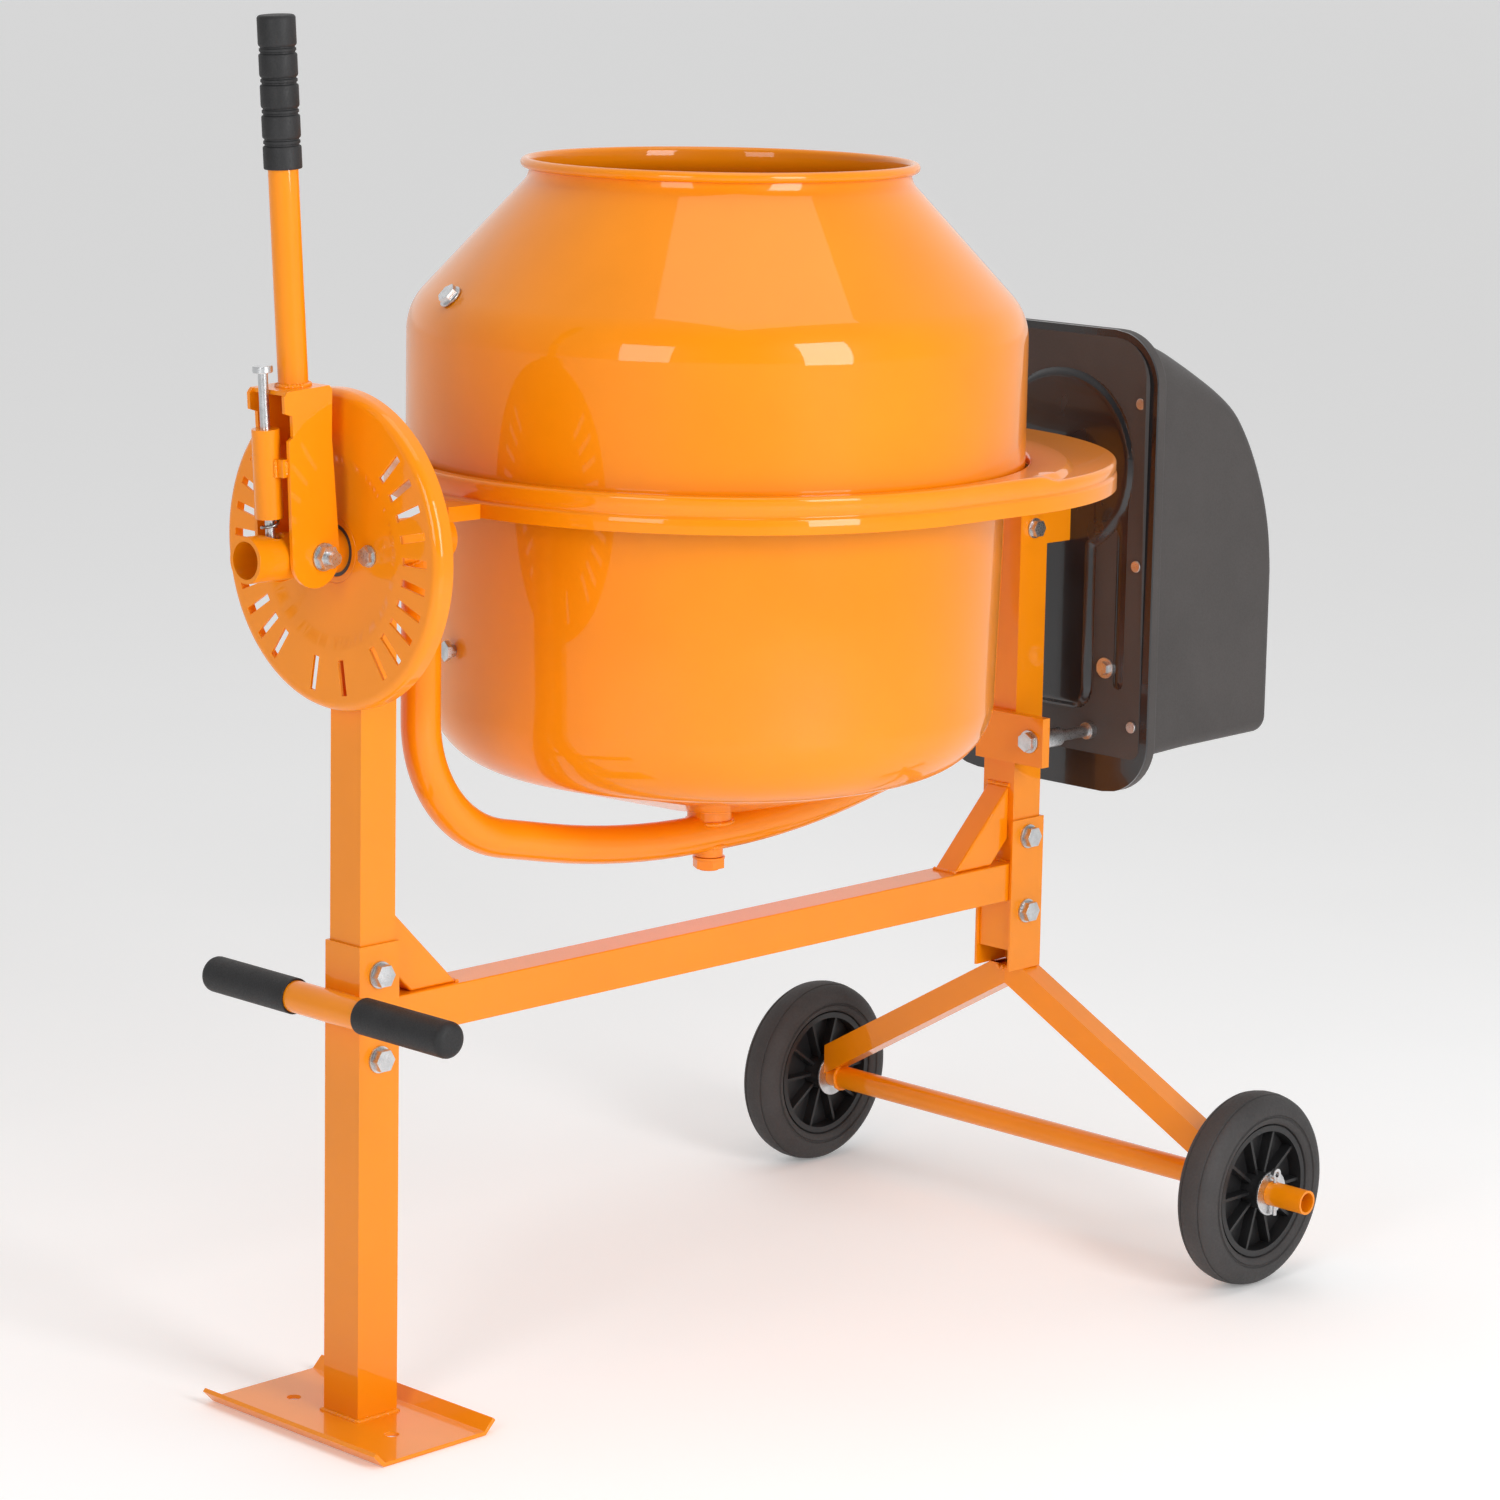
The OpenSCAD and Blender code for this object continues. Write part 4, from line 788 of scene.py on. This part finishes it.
make_upper_drum()
make_lower_drum()
make_guard()
make_yoke()
make_cover()
make_back_plate()
make_grip()
make_spring()
make_tyres()
make_frame_welds()
make_handle_welds()

# Width of the rounding on each node that keeps its CAD shape
EDGES = (
    ("front_leg", 3.0), ("left_upright", 3.0), ("right_upright", 3.0), ("cross_beam", 3.0),
    ("beam_braces", 2.5), ("wheel_bracket", 2.0), ("near_wheel_leg", 2.5), ("far_wheel_leg", 2.5),
    ("stay_bracket", 2.0), ("motor_bracket", 2.0), ("handle_clevis", 1.4), ("lock_tongue", 0.6),
    ("spring_sleeve", 0.8), ("guard_brackets", 0.6), ("switch_box", 1.5), ("switch_rocker", 0.8),
    ("cable_gland", 0.7), ("near_hub", 0.8), ("far_hub", 0.8), ("bearing_sleeves", 0.8),
    ("left_pivot_tube", 0.6), ("right_pivot_tube", 0.6), ("lift_bar", 0.5), ("axle_tube", 0.5),
    ("frame_bolts", 0.5), ("lock_disc", 0.7), ("foot_plate", 1.2), ("handle_tube", 0.5),
    ("lift_grips", 0.8), ("mixing_blades", 1.0), ("handle_pivot_bolt", 0.5), ("spring_bolt", 0.8),
    ("stay_bolt", 0.5), ("cover_screws", 0.7), ("drum_bolts", 0.4), ("axle_washers", 0.4),
    ("drum_spindle", 0.6), ("spindle_housing", 0.6),
)
for node, width in EDGES:
    polish(soften(node, width))


# ---- camera, floor and lights ------------------------------------------------

def aim(obj, spot, azimuth, pitch, roll=0.0):
    """Places an object and turns it to look along azimuth (from +X towards +Y), down by pitch."""
    level = math.cos(pitch)
    look = Vector((math.cos(azimuth) * level, math.sin(azimuth) * level, -math.sin(pitch)))
    obj.location = spot
    turn = look.to_track_quat("-Z", "Y").to_matrix().to_4x4()
    obj.rotation_euler = (turn @ Matrix.Rotation(roll, 4, "Z")).to_euler()


def add_camera():
    data = bpy.data.cameras.new("camera")
    camera = bpy.data.objects.new("camera", data)
    bpy.context.scene.collection.objects.link(camera)
    data.sensor_width = 36.0
    data.lens = 109.32
    data.clip_start = 0.1
    data.shift_y = -0.1
    spot = Vector((DRUM.x - 3.1134, DRUM.y - 3.0826, 1.4361))
    aim(camera, spot, math.radians(44.245), math.radians(9.259), math.radians(1.057))
    bpy.context.scene.camera = camera


def add_light(name, spot, target, size, power, colour=(1, 1, 1)):
    data = bpy.data.lights.new(name, "AREA")
    data.shape = "RECTANGLE"
    data.size, data.size_y = size
    data.energy = power
    data.color = colour
    light = bpy.data.objects.new(name, data)
    bpy.context.scene.collection.objects.link(light)
    light.location = spot
    light.rotation_euler = (Vector(target) - Vector(spot)).to_track_quat("-Z", "Y").to_euler()


def add_floor():
    bm = bmesh.new()
    bmesh.ops.create_grid(bm, x_segments=2, y_segments=2, size=80.0)
    mesh = bpy.data.meshes.new("floor")
    bm.to_mesh(mesh)
    bm.free()
    floor = bpy.data.objects.new("floor", mesh)
    bpy.context.scene.collection.objects.link(floor)
    floor.location = (DRUM.x, 0, -0.0005)
    cloth = finish("studio_floor", (0.93, 0.93, 0.93), 0.01, (0.7, 0.8), mottle=2.0)
    shader = cloth.node_tree.nodes["Principled BSDF"]
    shader.inputs["Emission Color"].default_value = (1.0, 1.0, 1.0, 1.0)
    shader.inputs["Emission Strength"].default_value = 0.16
    mesh.materials.append(cloth)


def add_world():
    """Studio surround: white behind the object from the camera's side, dim behind the camera."""
    world = bpy.data.worlds.new("studio")
    world.use_nodes = True
    tree = world.node_tree
    coords = tree.nodes.new("ShaderNodeTexCoord")
    along = tree.nodes.new("ShaderNodeVectorMath")
    along.operation = "DOT_PRODUCT"
    along.inputs[1].default_value = (0.716, 0.698, 0.0)
    level = tree.nodes.new("ShaderNodeMapRange")
    level.inputs["From Min"].default_value = -0.8
    level.inputs["From Max"].default_value = 0.8
    level.inputs["To Min"].default_value = 0.12
    level.inputs["To Max"].default_value = 0.92
    tree.nodes["Background"].inputs["Color"].default_value = (1.0, 1.0, 1.0, 1.0)
    tree.links.new(coords.outputs["Generated"], along.inputs[0])
    tree.links.new(along.outputs["Value"], level.inputs["Value"])
    tree.links.new(level.outputs["Result"], tree.nodes["Background"].inputs["Strength"])
    bpy.context.scene.world = world


def reflected(point, azimuth, elevation, reach):
    """A spot at a distance from a point on the drum, in a direction given in degrees."""
    a, e = math.radians(azimuth), math.radians(elevation)
    way = Vector((math.cos(a) * math.cos(e), math.sin(a) * math.cos(e), math.sin(e)))
    return Vector(point) * MM + Vector((DRUM.x, 0, 0)) + way * reach


add_camera()
add_world()
add_floor()
bpy.context.scene.view_settings.view_transform = "Standard"
centre = (DRUM.x, 0, 0.7)
for name, spot, azimuth, elevation, tall, power in (
        ("window_left", (-252.7, -159.6, 992.9), -161.6, 12.4, 1.5, 24),
        ("window_right", (-129.6, -269.3, 994.5), -94.4, 14.6, 2.0, 60)):
    target = Vector(spot) * MM + Vector((DRUM.x, 0, 0))
    add_light(name, reflected(spot, azimuth, elevation, 3.0), target, (1.05, tall), power)
add_light("top", (DRUM.x, -0.6, 4.2), centre, (2.4, 2.4), 26)
